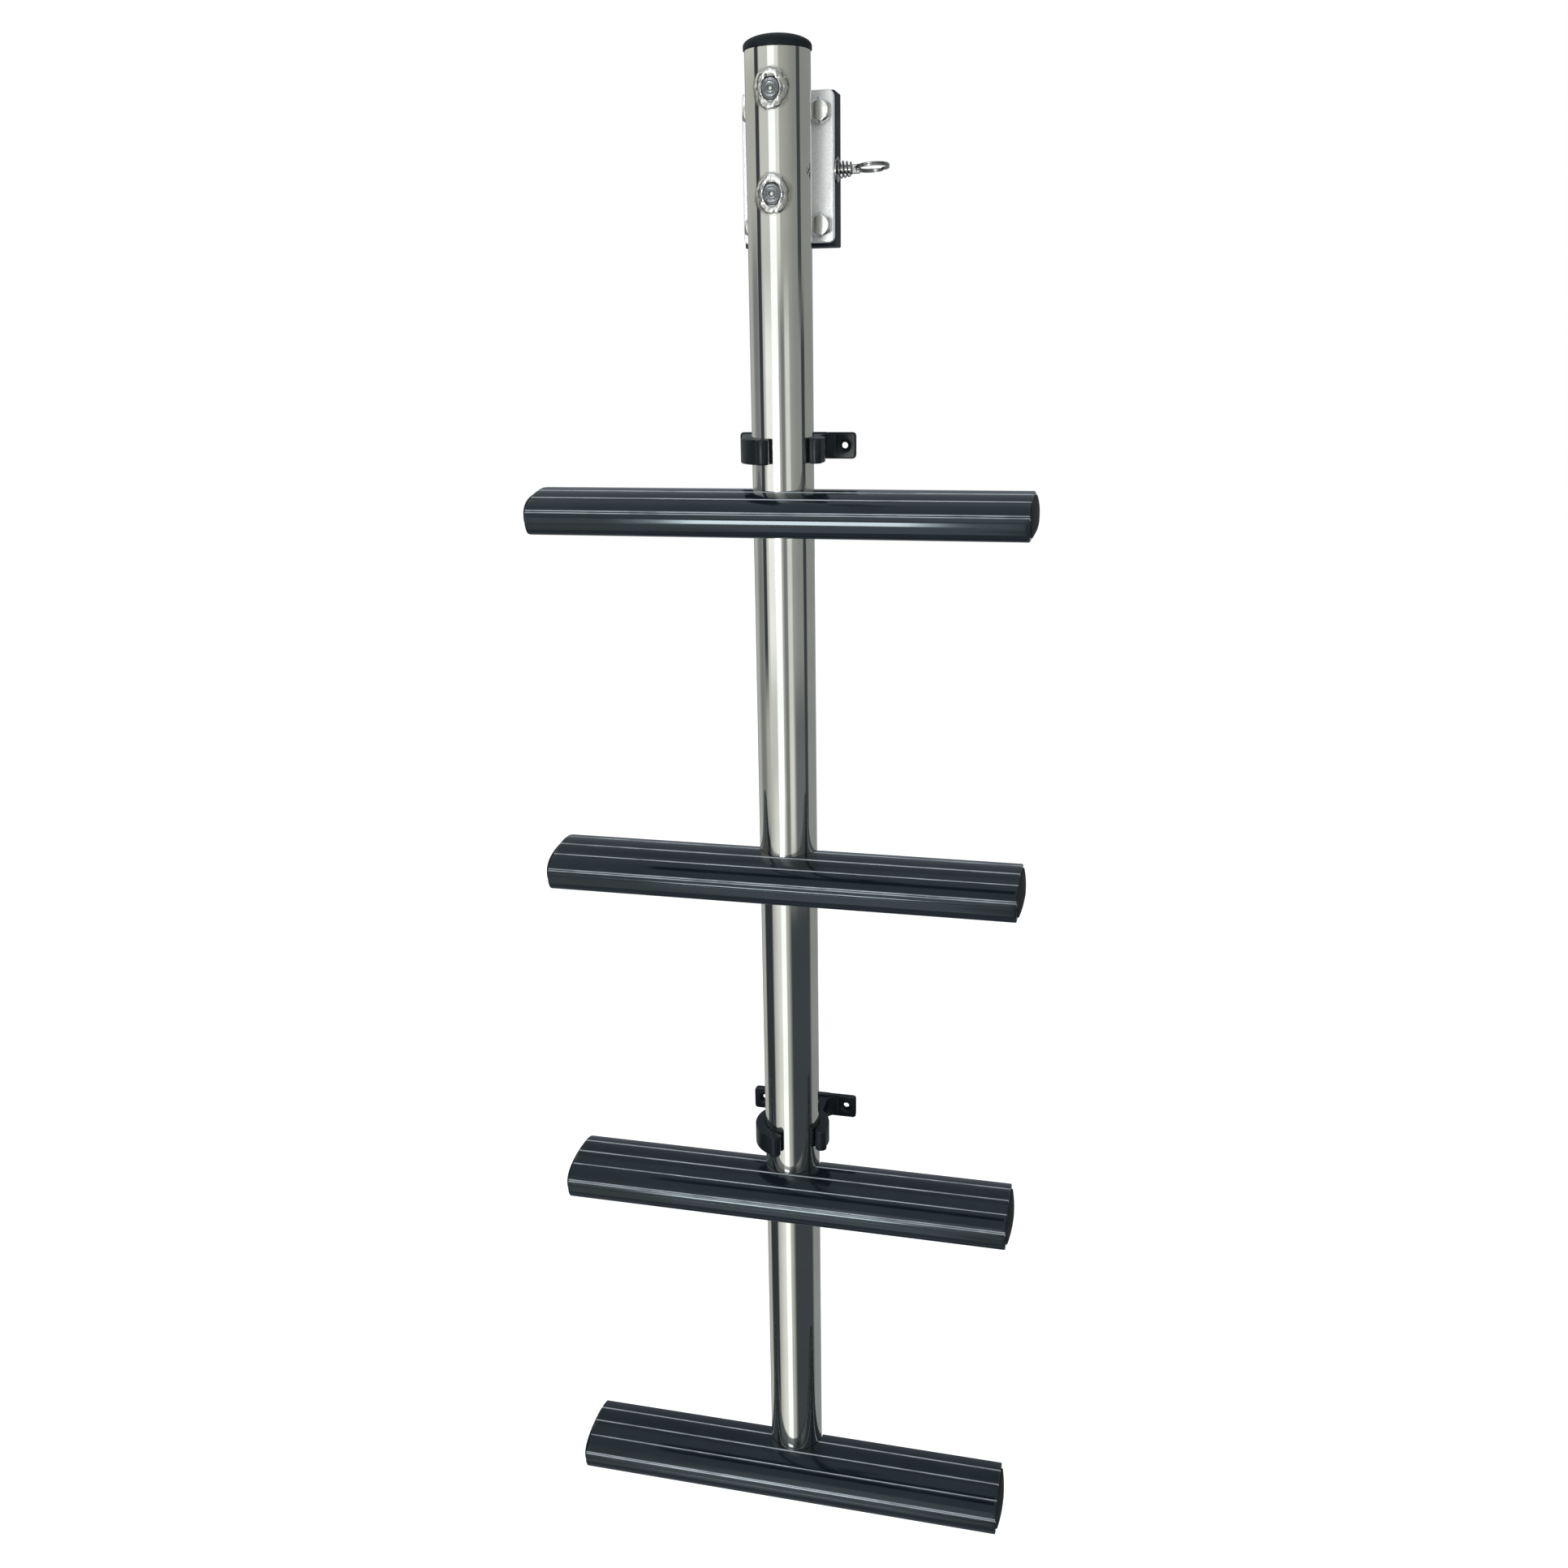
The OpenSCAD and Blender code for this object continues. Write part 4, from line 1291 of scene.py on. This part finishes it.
@dataclass
class TransomBracket:
    """The block, its front plate and the four bolts."""

    width: float = 56.0
    height: float = 86.5
    plate_t: float = 3.0
    plate_short: float = 2.0
    head_slot_r: float = 11.3
    rod_slot_r: float = 6.65
    slot_round: float = 0.6
    block_corner: float = 1.0
    plate_corner: float = 4.0
    bolt_at: tuple[float, float] = (20.0, 31.5)
    bolt_flats: float = 13.0
    bolt_corner: float = 7.345
    bolt_head: float = 5.3
    head_dome: float = 0.35
    chamfer_r: float = 5.46
    chamfer_slope: float = 0.62
    seat_edge: float = 0.35
    bolt_end: float = 17.0
    bolt_tip: float = 1.2
    tip_share: float = 0.65
    shank_r: float = 3.9
    thread_root: float = 3.35
    thread_d: float = 0.55
    pitch: float = 1.25
    body: str = "transom_bracket"

    def slotted(self, low: float, high: float, slot_r: float, corner: float) -> Array:
        """An upright rectangle with a slot that is open at its top.

        Both ends of the softened line start at the origin, which only aims
        the rounding of the slot's upper corners, and are left out.

        Args:
            low: Its lower edge.
            high: Its upper edge.
            slot_r: The slot's radius, and half of its width.
            corner: How far its outer corners are rounded.

        Returns:
            The outline, as (z, x).
        """
        half = self.width / 2
        foot = arc((LAYOUT.stud_z[1], 0), slot_r, 90, 270, 33)
        right = np.array([[0, 0], [high, slot_r], [high, half], [low, half]])
        rounds = np.array([0, self.slot_round, corner, corner])
        outline = np.concatenate([right, right[::-1] * [1, -1]])
        sides = soften(outline, np.concatenate([rounds, rounds[::-1]]), 7, closed=False)[1:-1]
        return np.concatenate([sides, foot[::-1]])

    def block(self) -> Piece:
        """A full slab behind one with the channel for the stud heads.

        Returns:
            The block.
        """
        h, w = self.height / 2, self.width / 2
        front, seam = -LAYOUT.block_depth, LAYOUT.channel_depth - LAYOUT.block_depth
        slab = soften(np.array([[-h, -w], [-h, w], [h, w], [h, -w]]), self.block_corner, 6)
        channel = self.slotted(-h, h, self.head_slot_r, self.block_corner)
        shell = Shell("bracket_body").grid(prism(slab, Axis.Y, seam, 0, (0, 0.5)))
        shell.grid(prism(channel, Axis.Y, front, seam, (0.5, 0)))
        return finish_piece(shell.build(), BLOCK_PLASTIC, self.body, "bracket_block")

    def plate(self) -> Piece:
        """The front plate, with rounded corners and rims and a slot.

        Returns:
            The plate.
        """
        back, h = -LAYOUT.block_depth, self.height / 2
        outline = self.slotted(-h + self.plate_short, h, self.rod_slot_r, self.plate_corner)
        shell = Shell("bracket_front").grid(prism(outline, Axis.Y, back - self.plate_t, back, (0.8, 0.3)))
        return finish_piece(shell.build(), PLATE_STEEL, self.body, "bracket_plate")

    def bolt(self, shell: Shell, x: float, z: float) -> None:
        """Adds one bolt: a domed hexagon head and a threaded shank.

        The head's rows grow from its middle to the hexagon's radius at each
        angle, cut round at its corners, and a cone past the chamfer's circle
        lowers them. The thread is a wave of the radius that climbs one pitch
        a turn, and the tip narrows to a share of it over its last stretch.

        Args:
            shell: The shell that it is added to.
            x: The bolt's place across.
            z: The bolt's place up.
        """
        seat = -LAYOUT.block_depth - self.plate_t
        a = np.linspace(0, CIRCLE, 144, endpoint=False)
        hexagon = self.bolt_flats / 2 / np.cos(np.mod(a, np.pi / 3) - np.pi / 6)
        hexagon = np.minimum(hexagon, self.bolt_corner)
        share = np.concatenate([np.linspace(0, 0.7, 8), np.linspace(0.76, 1, 9)])[:, None]
        r = share * hexagon
        dome = self.bolt_head - self.head_dome * (r / hexagon.max()) ** 2
        dome -= self.chamfer_slope * np.maximum(r - self.chamfer_r, 0)
        r = np.concatenate([r, [hexagon, hexagon * 0.985]])
        edge = np.broadcast_to([[self.seat_edge], [0.0]], (2, len(a)))
        rise = np.concatenate([dome, edge])
        shell.grid(place(Axis.Y, z + r * np.cos(a), x + r * np.sin(a), seat - rise), lids=False)
        a = a[::4]
        y = np.linspace(seat - 0.01, self.bolt_end, 330)[:, None]
        climb = (y / self.pitch - a / CIRCLE) % 1
        thread = self.thread_root + self.thread_d * (1 - np.abs(2 * climb - 1)) ** 0.8
        shank = np.where(y < 0, self.shank_r, thread)
        fade = np.clip((self.bolt_end - y) / self.bolt_tip, 0, 1) ** 0.25
        shank *= self.tip_share + (1 - self.tip_share) * fade
        shell.grid(place(Axis.Y, z + shank * np.cos(a), x + shank * np.sin(a), y))

    def bolts(self) -> Piece:
        """All four bolts as one piece.

        Returns:
            The bolts.
        """
        shell = Shell("bracket_bolt_set")
        for x in (-self.bolt_at[0], self.bolt_at[0]):
            for z in (-self.bolt_at[1], self.bolt_at[1]):
                self.bolt(shell, x, z)
        return finish_piece(shell.build(28), BOLT_STEEL, self.body, "bracket_bolts")

    def build(self) -> list[Piece]:
        """Builds the bracket's three pieces."""
        return [self.block(), self.plate(), self.bolts()]


# ---- lock pin ----------------------------------------------------------


@dataclass
class LockPin:
    """The pin's washer and spring, and the ring that pulls it.

    The eye's hole lies eye_x past the stem's end, and the ring is rolled in
    it and leans about it by its two angles in degrees.
    """

    stem_x: float = 28.1
    stem_len: float = 9.9
    stem_r: float = 2.5
    eye_x: float = 2.1
    washer_r: float = 7.2
    washer_t: float = 1.0
    washer_edge: float = 0.22
    play: float = 0.1
    wire_r: float = 0.5
    coil: tuple[float, float] = (4.9, 3.65)
    turns: float = 3.75
    end_tuck: float = 1.1
    tuck_turns: float = 0.12
    flat_share: float = 0.06
    ring_r: float = 9.7
    ring_wire_r: float = 0.6
    ring_split: float = 0.12
    ring_roll: float = -5.0
    ring_lean: float = 4.0
    body: str = "lock_pin"

    def washer(self) -> Piece:
        """A flat ring with rounded edges.

        Returns:
            The washer.
        """
        hole, rim, thick = self.stem_r + self.play, self.washer_r, self.washer_t
        corners = np.array([[hole, 0], [rim, 0], [rim, thick], [hole, thick]])
        grid = lathe(soften(corners, self.washer_edge), Axis.X, (self.stem_x, LAYOUT.pin_y, 0), 80)
        washer = Shell("lock_washer").grid(grid, wrap=True).build()
        return finish_piece(washer, PIN_STEEL, self.body, "pin_washer")

    def spring(self) -> Piece:
        """A wire wound in a cone: the radius shrinks evenly as it climbs.

        Its two ends lie flat and tuck in towards the stem.

        Returns:
            The spring.
        """
        start = self.stem_x + self.washer_t + self.play + self.wire_r
        end = self.stem_x + self.stem_len - self.wire_r * 1.2
        s = np.linspace(0, 1, 220)
        from_end = np.minimum(s, 1 - s) * self.turns
        radius = self.coil[0] + (self.coil[1] - self.coil[0]) * s
        radius -= self.end_tuck * np.clip(1 - from_end / self.tuck_turns, 0, 1)
        x = start + (end - start) * np.clip((s - self.flat_share) / (1 - 2 * self.flat_share), 0, 1)
        turn = CIRCLE * self.turns * s
        path = place(Axis.X, LAYOUT.pin_y + radius * np.cos(turn), radius * np.sin(turn), x)
        shell = Shell("lock_spring").grid(pipe(path, self.wire_r))
        return finish_piece(shell.build(), WIRE_STEEL, self.body, "pin_spring")

    def ring(self) -> Piece:
        """A split ring: two turns of wire that step over each other once.

        Returns:
            The ring.
        """
        t = np.linspace(0, 1, 260)
        turn = 2 * CIRCLE * t + np.pi * 0.35
        cross = np.clip((t - 0.5) / self.ring_split + 0.5, 0, 1)
        lift = self.ring_wire_r * 0.96 * (2 * cross**2 * (3 - 2 * cross) - 1)
        x, across = self.ring_r * (1 + np.cos(turn)), self.ring_r * np.sin(turn)
        y, z = rotate(across, lift, self.ring_roll)
        x, z = rotate(x, z, self.ring_lean)
        path = np.stack([self.stem_x + self.stem_len + self.eye_x + x, LAYOUT.pin_y + y, z], axis=1)
        shell = Shell("pull_ring_wire").grid(pipe(path, self.ring_wire_r))
        return finish_piece(shell.build(), WIRE_STEEL, "pull_ring", "pull_ring")

    def build(self) -> list[Piece]:
        """Builds what is on the pin."""
        return [self.washer(), self.spring(), self.ring()]


# ---- storage clips -----------------------------------------------------


@dataclass
class StorageClip:
    """A spring clip: an open jaw round the tube, a neck and two ears.

    The jaw's mouth is centred on its aim, in degrees from the front, and
    its outer and inner arcs stop lip_out and lip_in degrees short of it.
    """

    name: str
    node: str
    z: float
    jaw_in: float = 19.15
    jaw_out: float = 26.05
    jaw_h: float = 15.0
    lip_r: float = 4.0
    lip_gap: float = 0.3
    lip_out: float = 14.0
    lip_in: float = 7.0
    aim: float = 26.0
    mouth: float = 90.0
    neck: float = 18.0
    fillet: float = 7.0
    rim: float = 0.8
    ear_h: float = 16.6
    ear_t: float = 4.0
    ear_in: float = 8.0
    ear_round: float = 2.6
    ear_rim: float = 0.8
    span: float = 76.0
    holes: float = 61.0
    hole_r: float = 2.0
    sink_r: float = 3.7
    sink_d: float = 2.4
    bite: float = 0.05

    def tip(self, bearing: float, way: int) -> Array:
        """One lip, from outside the jaw to its inside.

        Args:
            bearing: Where it stands, in degrees from the front.
            way: 1 for the right lip and -1 for the left.

        Returns:
            The points, as (x, y).
        """
        reach, turn = self.jaw_in + self.lip_r + self.lip_gap, math.radians(bearing)
        centre = reach * math.sin(turn), -reach * math.cos(turn)
        out = bearing - 90
        return arc(centre, self.lip_r, out + way * 62, out - way * 150, 26)

    def plan(self) -> Array:
        """The jaw and neck from above, about the tube's axis.

        Outer arcs run from each lip back to the neck, the neck's sides
        spread into the ears, and the inner arc joins the lips.

        Returns:
            The outline, as (x, y).
        """
        left, right = self.aim - self.mouth / 2, self.aim + self.mouth / 2
        start, end = right - 90, left + 270
        wall, bend, foot = -LAYOUT.tube_y - self.ear_t, self.fillet, self.neck + self.fillet
        join = math.degrees(math.asin(self.neck / self.jaw_out))
        right_neck = np.concatenate([[[foot, wall + 2]], arc((foot, wall - bend), bend, 90, 180, 13)])
        outer_right = arc((0, 0), self.jaw_out, 90 - join, start + self.lip_out, 40)
        inner = arc((0, 0), self.jaw_in, start + self.lip_in, end - self.lip_in, 90)
        outer_left = arc((0, 0), self.jaw_out, end - self.lip_out, 90 + join, 60)
        left_neck = right_neck[::-1] * [-1, 1]
        tips = self.tip(right, 1), self.tip(left, -1)[::-1]
        return np.concatenate([right_neck, outer_right, tips[0], inner, tips[1], outer_left, left_neck])

    def ear(self, side: Side) -> Array:
        """An ear as a closed ring of rows from its hole to its outline and back.

        Each row is a loop in the plane of the ear: the countersink's rim,
        the hole at the front and at the back, the back's outline, and the
        front's outline with a rounded rim. Rows beside each edge keep its
        paler edge, partly wear and partly a painted highlight, narrow.

        Args:
            side: The side of the ladder that it is on.

        Returns:
            A grid of points, as [rows, around, 3].
        """
        inner, outer, half = self.neck - self.ear_in, self.span / 2, self.ear_h / 2
        centre = np.array([self.holes / 2, 0.0])
        corners = np.array([[inner, -half], [outer, -half], [outer, half], [inner, half]])
        outline = spaced(soften(corners, self.ear_round, 9), 96)
        aim = outline - centre
        aim /= np.linalg.norm(aim, axis=1, keepdims=True)
        front, back = -self.ear_t, 0.0
        rows = [
            (centre + aim * self.sink_r * 1.04, front),
            (centre + aim * self.sink_r * 0.98, front + 0.1),
            (centre + aim * self.hole_r * 1.04, front + self.sink_d - 0.2),
            (centre + aim * self.hole_r, front + self.sink_d),
            (centre + aim * self.hole_r, back),
            (centre + aim * self.hole_r * 1.5, back),
            (inset(outline, 1.4), back),
            (inset(outline, 0.3), back),
        ]
        for rise, draw in zip(*np.multiply(quarter(5), self.ear_rim)):
            rows.append((inset(outline, rise), front + draw))
        rows += [(inset(outline, 1.7), front), (centre + aim * self.sink_r * 1.35, front)]
        flat = np.stack([points for points, _ in rows])
        depth = np.array([[y] for _, y in rows])
        return place(Axis.Y, self.z + flat[..., 1], side.value * flat[..., 0], depth)

    def build(self) -> list[Piece]:
        """Builds the clip as one piece.

        The plate between the ears lies a bite inside their faces.

        Returns:
            The clip.
        """
        half, tall = self.jaw_h / 2, self.ear_h / 2 - self.bite
        plan = self.plan() + [0, LAYOUT.tube_y]
        jaw = prism(plan, Axis.Z, self.z - half, self.z + half, (self.rim, self.rim))
        shell = Shell(self.name).grid(jaw)
        shell.grid(self.ear(Side.LEFT), wrap=True).grid(self.ear(Side.RIGHT), wrap=True)
        corners = np.array([[-tall, -self.neck], [-tall, self.neck], [tall, self.neck], [tall, -self.neck]])
        joint = soften(corners, 0.2) + [self.z, 0]
        shell.grid(prism(joint, Axis.Y, -self.ear_t - 1, -self.bite, (0.1, 0.1)))
        return [finish_piece(shell.build(40), CLIP_PLASTIC, self.node, self.node)]


# ---- studio ------------------------------------------------------------


@dataclass(frozen=True)
class Card:
    """A soft-edged area of the studio's wall that steel and gloss mirror.

    Its sides are bearings from the front in degrees, and its foot and head
    are heights in metres.
    """

    what: str
    sides: tuple[float, float]
    heights: tuple[float, float]
    grey: int
    soft: float = 4.0
    fade: float = 0.16
    power: float = 1.2
    cool: bool = False

    @property
    def colour(self) -> tuple[float, ...]:
        """Its colour: dark cards lean to blue and light ones a little to yellow.

        Returns:
            The colour as a socket's value.
        """
        if self.cool:
            return linear(self.grey - 6, self.grey, self.grey + 8)
        warm = min(1.0, max(0.0, (self.grey - 90) / 60)) if self.grey < 250 else 0.5
        return linear(self.grey - 3 * (1 - warm), self.grey + 1, self.grey + 4 - 9 * warm)


CARDS = (
    Card("pale room", (-400, 400), (-4, 4), 164),
    Card("right side", (42, 400), (-4, 4), 132, soft=60),
    Card("upper room", (-135, 8), (0.33, 4), 205),
    Card("back wall, right", (160, 400), (-4, 4), 140, soft=20, cool=True),
    Card("back wall, left", (-400, -140), (-4, 4), 140, soft=20, cool=True),
    Card("far left corner", (-106, -72), (-1.0, 0.05), 118, soft=22),
    Card("low left", (-104, -58), (-4, -0.92), 52, soft=10),
    Card("dark frame", (-73, -57), (-0.65, 4), 58),
    Card("beside the window", (-54, -10), (-0.78, 4), 190),
    Card("curtain", (-47, -10), (-0.62, -0.05), 234),
    Card("low sill", (-42, -8), (-4, -0.8), 215, soft=40),
    Card("window's right edge", (-6, 14), (0.0, 4), 216),
    Card("narrow post", (9, 22), (-1.0, -0.04), 116, soft=6),
    Card("lit panel", (24, 40), (-0.95, -0.04), 205, soft=6),
    Card("dim panel", (46, 88), (-1.05, -0.65), 98, soft=10),
    Card("low right", (14, 103), (-4, -1.0), 62, soft=16),
    Card("door edge", (77, 92), (-0.04, 4), 64),
    Card("door edge, lower", (86, 102), (-1.05, -0.04), 58, soft=6),
    Card("window", (-21, -1), (-4, 4), 255, soft=3),
    Card("window, upper part", (-21, 2), (-0.9, 4), 255, soft=3),
    Card("lit pane", (-19, -4), (-0.45, -0.2), 255, soft=3, fade=0.05, power=20.0),
)


@dataclass
class Studio:
    """Camera, soft light, floor and the round wall that steel mirrors, in metres."""

    eye: tuple[float, float, float] = (0.2126, -0.9317, -0.0997)
    right: tuple[float, float, float] = (0.9728, 0.2313, -0.0143)
    forward: tuple[float, float, float] = (-0.2254, 0.9300, -0.2904)
    lens: float = 33.24
    aim: tuple[float, float, float] = (0, -0.04, -0.42)
    floor_half: float = 14.0
    wall_r: float = 1.5
    wall_low: float = -2.25
    wall_high: float = 1.6

    def camera(self) -> None:
        """Sets the camera up from its place and its right and forward directions."""
        forward = Vector(self.forward).normalized()
        up = Vector(self.right).normalized().cross(forward).normalized()
        right = forward.cross(up).normalized()
        data = bpy.data.cameras.new("view")
        data.sensor_width = 36.0
        data.lens = self.lens
        data.clip_end = 100.0
        camera = bpy.data.objects.new("view", data)
        turn = Matrix((right, up, -forward)).transposed()
        camera.matrix_world = Matrix.Translation(self.eye) @ turn.to_4x4()
        bpy.context.scene.collection.objects.link(camera)
        bpy.context.scene.camera = camera

    def world(self) -> None:
        """A white world to the camera, a dimmer one to gloss, and a plain soft one to the rest."""
        world = bpy.data.worlds.new("soft_room")
        bpy.context.scene.world = world
        tree = bare_tree(world)
        path = tree.add("LightPath").outputs
        soft = tree.add("Background", {"Color": (0.95, 0.97, 1.0, 1), "Strength": 0.62})
        gloss = tree.add("Background", {"Color": (0.86, 0.94, 1.0, 1), "Strength": 0.55})
        white = tree.add("Background", {"Color": (1, 1, 1, 1), "Strength": 1.0})
        shiny = tree.math("MAXIMUM", path["Is Glossy Ray"], path["Is Transmission Ray"])
        first = tree.add("MixShader", {0: shiny, 1: soft.outputs[0], 2: gloss.outputs[0]})
        both = tree.add("MixShader", {0: path["Is Camera Ray"], 1: first.outputs[0], 2: white.outputs[0]})
        tree.add("OutputWorld", {"Surface": both.outputs[0]})

    def stage(self, piece: Piece) -> Tree:
        """Gives a stage piece an empty material.

        Args:
            piece: The floor or the wall.

        Returns:
            The material's tree.
        """
        material = bpy.data.materials.new(piece.name)
        piece.data.materials.append(material)
        return bare_tree(material)

    def floor(self) -> None:
        """A wide pale floor well below the ladder, white to the camera but for the shadow."""
        corners = np.array([(-1, -1), (1, -1), (1, 1), (-1, 1)]) * self.floor_half
        points = place(Axis.Z, *corners.T, self.wall_low)
        tree = self.stage(add_mesh("studio_floor", points, [[0, 1, 2, 3]]))
        path = tree.add("LightPath").outputs
        tone = tree.mix(path["Is Glossy Ray"], (0.9, 0.9, 0.9, 1), (0.35, 0.38, 0.42, 1))
        pale = tree.add("BsdfDiffuse", {"Color": tone})
        clear = tree.math("MAXIMUM", path["Is Camera Ray"], path["Is Transmission Ray"])
        glow = tree.add("Emission", {"Color": (1, 1, 1, 1), "Strength": tree.math("MULTIPLY", clear, 0.6)})
        both = tree.add("AddShader", {0: pale.outputs[0], 1: glow.outputs[0]})
        tree.add("OutputMaterial", {"Surface": both.outputs[0]})

    def wall(self) -> None:
        """A round wall that only gloss sees, toned by bearing and by height.

        Each card in turn covers those before it, as far as its share of a
        place, which is the span of its sides times that of its heights.
        """
        count = 96
        a = np.radians(np.linspace(0, 360, count + 1))
        levels = np.array([[self.wall_low], [self.wall_high]])
        points = place(Axis.Z, self.wall_r * np.sin(a), -self.wall_r * np.cos(a), levels).reshape(-1, 3)
        low = np.arange(count)
        high = low + count + 1
        wall = add_mesh("studio_wall", points, np.stack([low, high, high + 1, low + 1], axis=1).tolist())
        for ray in ("camera", "diffuse", "shadow", "transmission", "volume_scatter"):
            setattr(wall, "visible_" + ray, False)
        tree = self.stage(wall)
        where = tree.add("SeparateXYZ", {0: tree.add("TexCoord").outputs["Object"]}).outputs
        turn = tree.math("ARCTAN2", where["X"], tree.math("MULTIPLY", where["Y"], -1.0))
        bearing = tree.math("MULTIPLY", turn, 180 / math.pi)
        colour, power = CARDS[0].colour, CARDS[0].power
        for card in CARDS[1:]:
            across = self.span(tree, bearing, card.sides, card.soft)
            share = tree.math("MULTIPLY", across, self.span(tree, where["Z"], card.heights, card.fade))
            colours = {0: share, 6: colour, 7: card.colour}
            colour = tree.add("Mix", colours, data_type="RGBA", label=card.what).outputs[2]
            rest = tree.math("MULTIPLY", tree.math("SUBTRACT", 1.0, share), power)
            power = tree.total(rest, (share, card.power))
        glow = tree.add("Emission", {"Color": colour, "Strength": power})
        tree.add("OutputMaterial", {"Surface": glow.outputs[0]})

    def span(self, tree: Tree, value: Socket, ends: tuple[float, float], soft: float) -> Socket:
        """Adds a value that is one between two ends and zero outside.

        Args:
            tree: The wall's tree.
            value: The bearing or the height.
            ends: Where it starts and ends.
            soft: How wide its soft edges are.

        Returns:
            The value's socket.
        """
        rise = tree.ramp(value, ends[0] - soft / 2, ends[0] + soft / 2)
        fall = tree.ramp(value, ends[1] - soft / 2, ends[1] + soft / 2, 1.0, 0.0)
        return tree.math("MULTIPLY", rise, fall)

    def lamp(
        self, name: str, at: tuple[float, float, float], size: tuple[float, float], watts: float
    ) -> None:
        """An area lamp aimed at the ladder's middle, unseen in gloss.

        Args:
            name: Its name.
            at: Its place.
            size: Its width and height.
            watts: Its power.
        """
        data = bpy.data.lights.new(name, "AREA")
        data.shape = "RECTANGLE"
        data.size, data.size_y = size
        data.energy = watts
        lamp = bpy.data.objects.new(name, data)
        lamp.location = at
        lamp.rotation_euler = (Vector(self.aim) - Vector(at)).to_track_quat("-Z", "Y").to_euler()
        lamp.visible_glossy = False
        bpy.context.scene.collection.objects.link(lamp)

    def build(self) -> None:
        """Builds the camera, the light and the stage."""
        self.camera()
        self.world()
        self.floor()
        self.wall()
        self.lamp("key", (-1.3, -1.7, 0.9), (1.4, 1.8), 26.0)
        self.lamp("fill", (1.6, -1.3, 0.4), (1.2, 1.6), 9.0)


class Part(Protocol):
    """A sub-assembly of the ladder."""

    def build(self) -> list[Piece]:
        """Builds its pieces, each with its finish and body, with its node hidden."""
        ...


def report(piece: Piece) -> None:
    """Logs a piece's name, size and material."""
    LOG.info("%s: %d faces, %s", piece.name, len(piece.data.polygons), piece.data.materials[0].name)


def main() -> None:
    """Loads the frame, then builds and reports every sub-assembly and the kept nodes."""
    logging.basicConfig(level=logging.INFO, format="%(name)s: %(message)s")
    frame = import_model()
    bpy.context.scene.view_settings.view_transform = "Standard"
    Effects().build()
    Studio().build()
    parts: list[Part] = [
        CentreTube(),
        StudPair(),
        *[Tread(number) for number in range(1, 5)],
        TransomBracket(),
        LockPin(),
        StorageClip("clip_upper", "upper_clip", LAYOUT.tread_z(1) + LAYOUT.clip_rise),
        StorageClip("clip_lower", "lower_clip", LAYOUT.tread_z(3) + LAYOUT.clip_rise),
    ]
    for part in parts:
        for piece in part.build():
            report(piece)
    for name, finish in (("tread_screws", BOLT_STEEL), ("lock_pin", PIN_STEEL)):
        report(dress_node(frame["nodes"][name], finish))


if __name__ == "__main__":
    main()
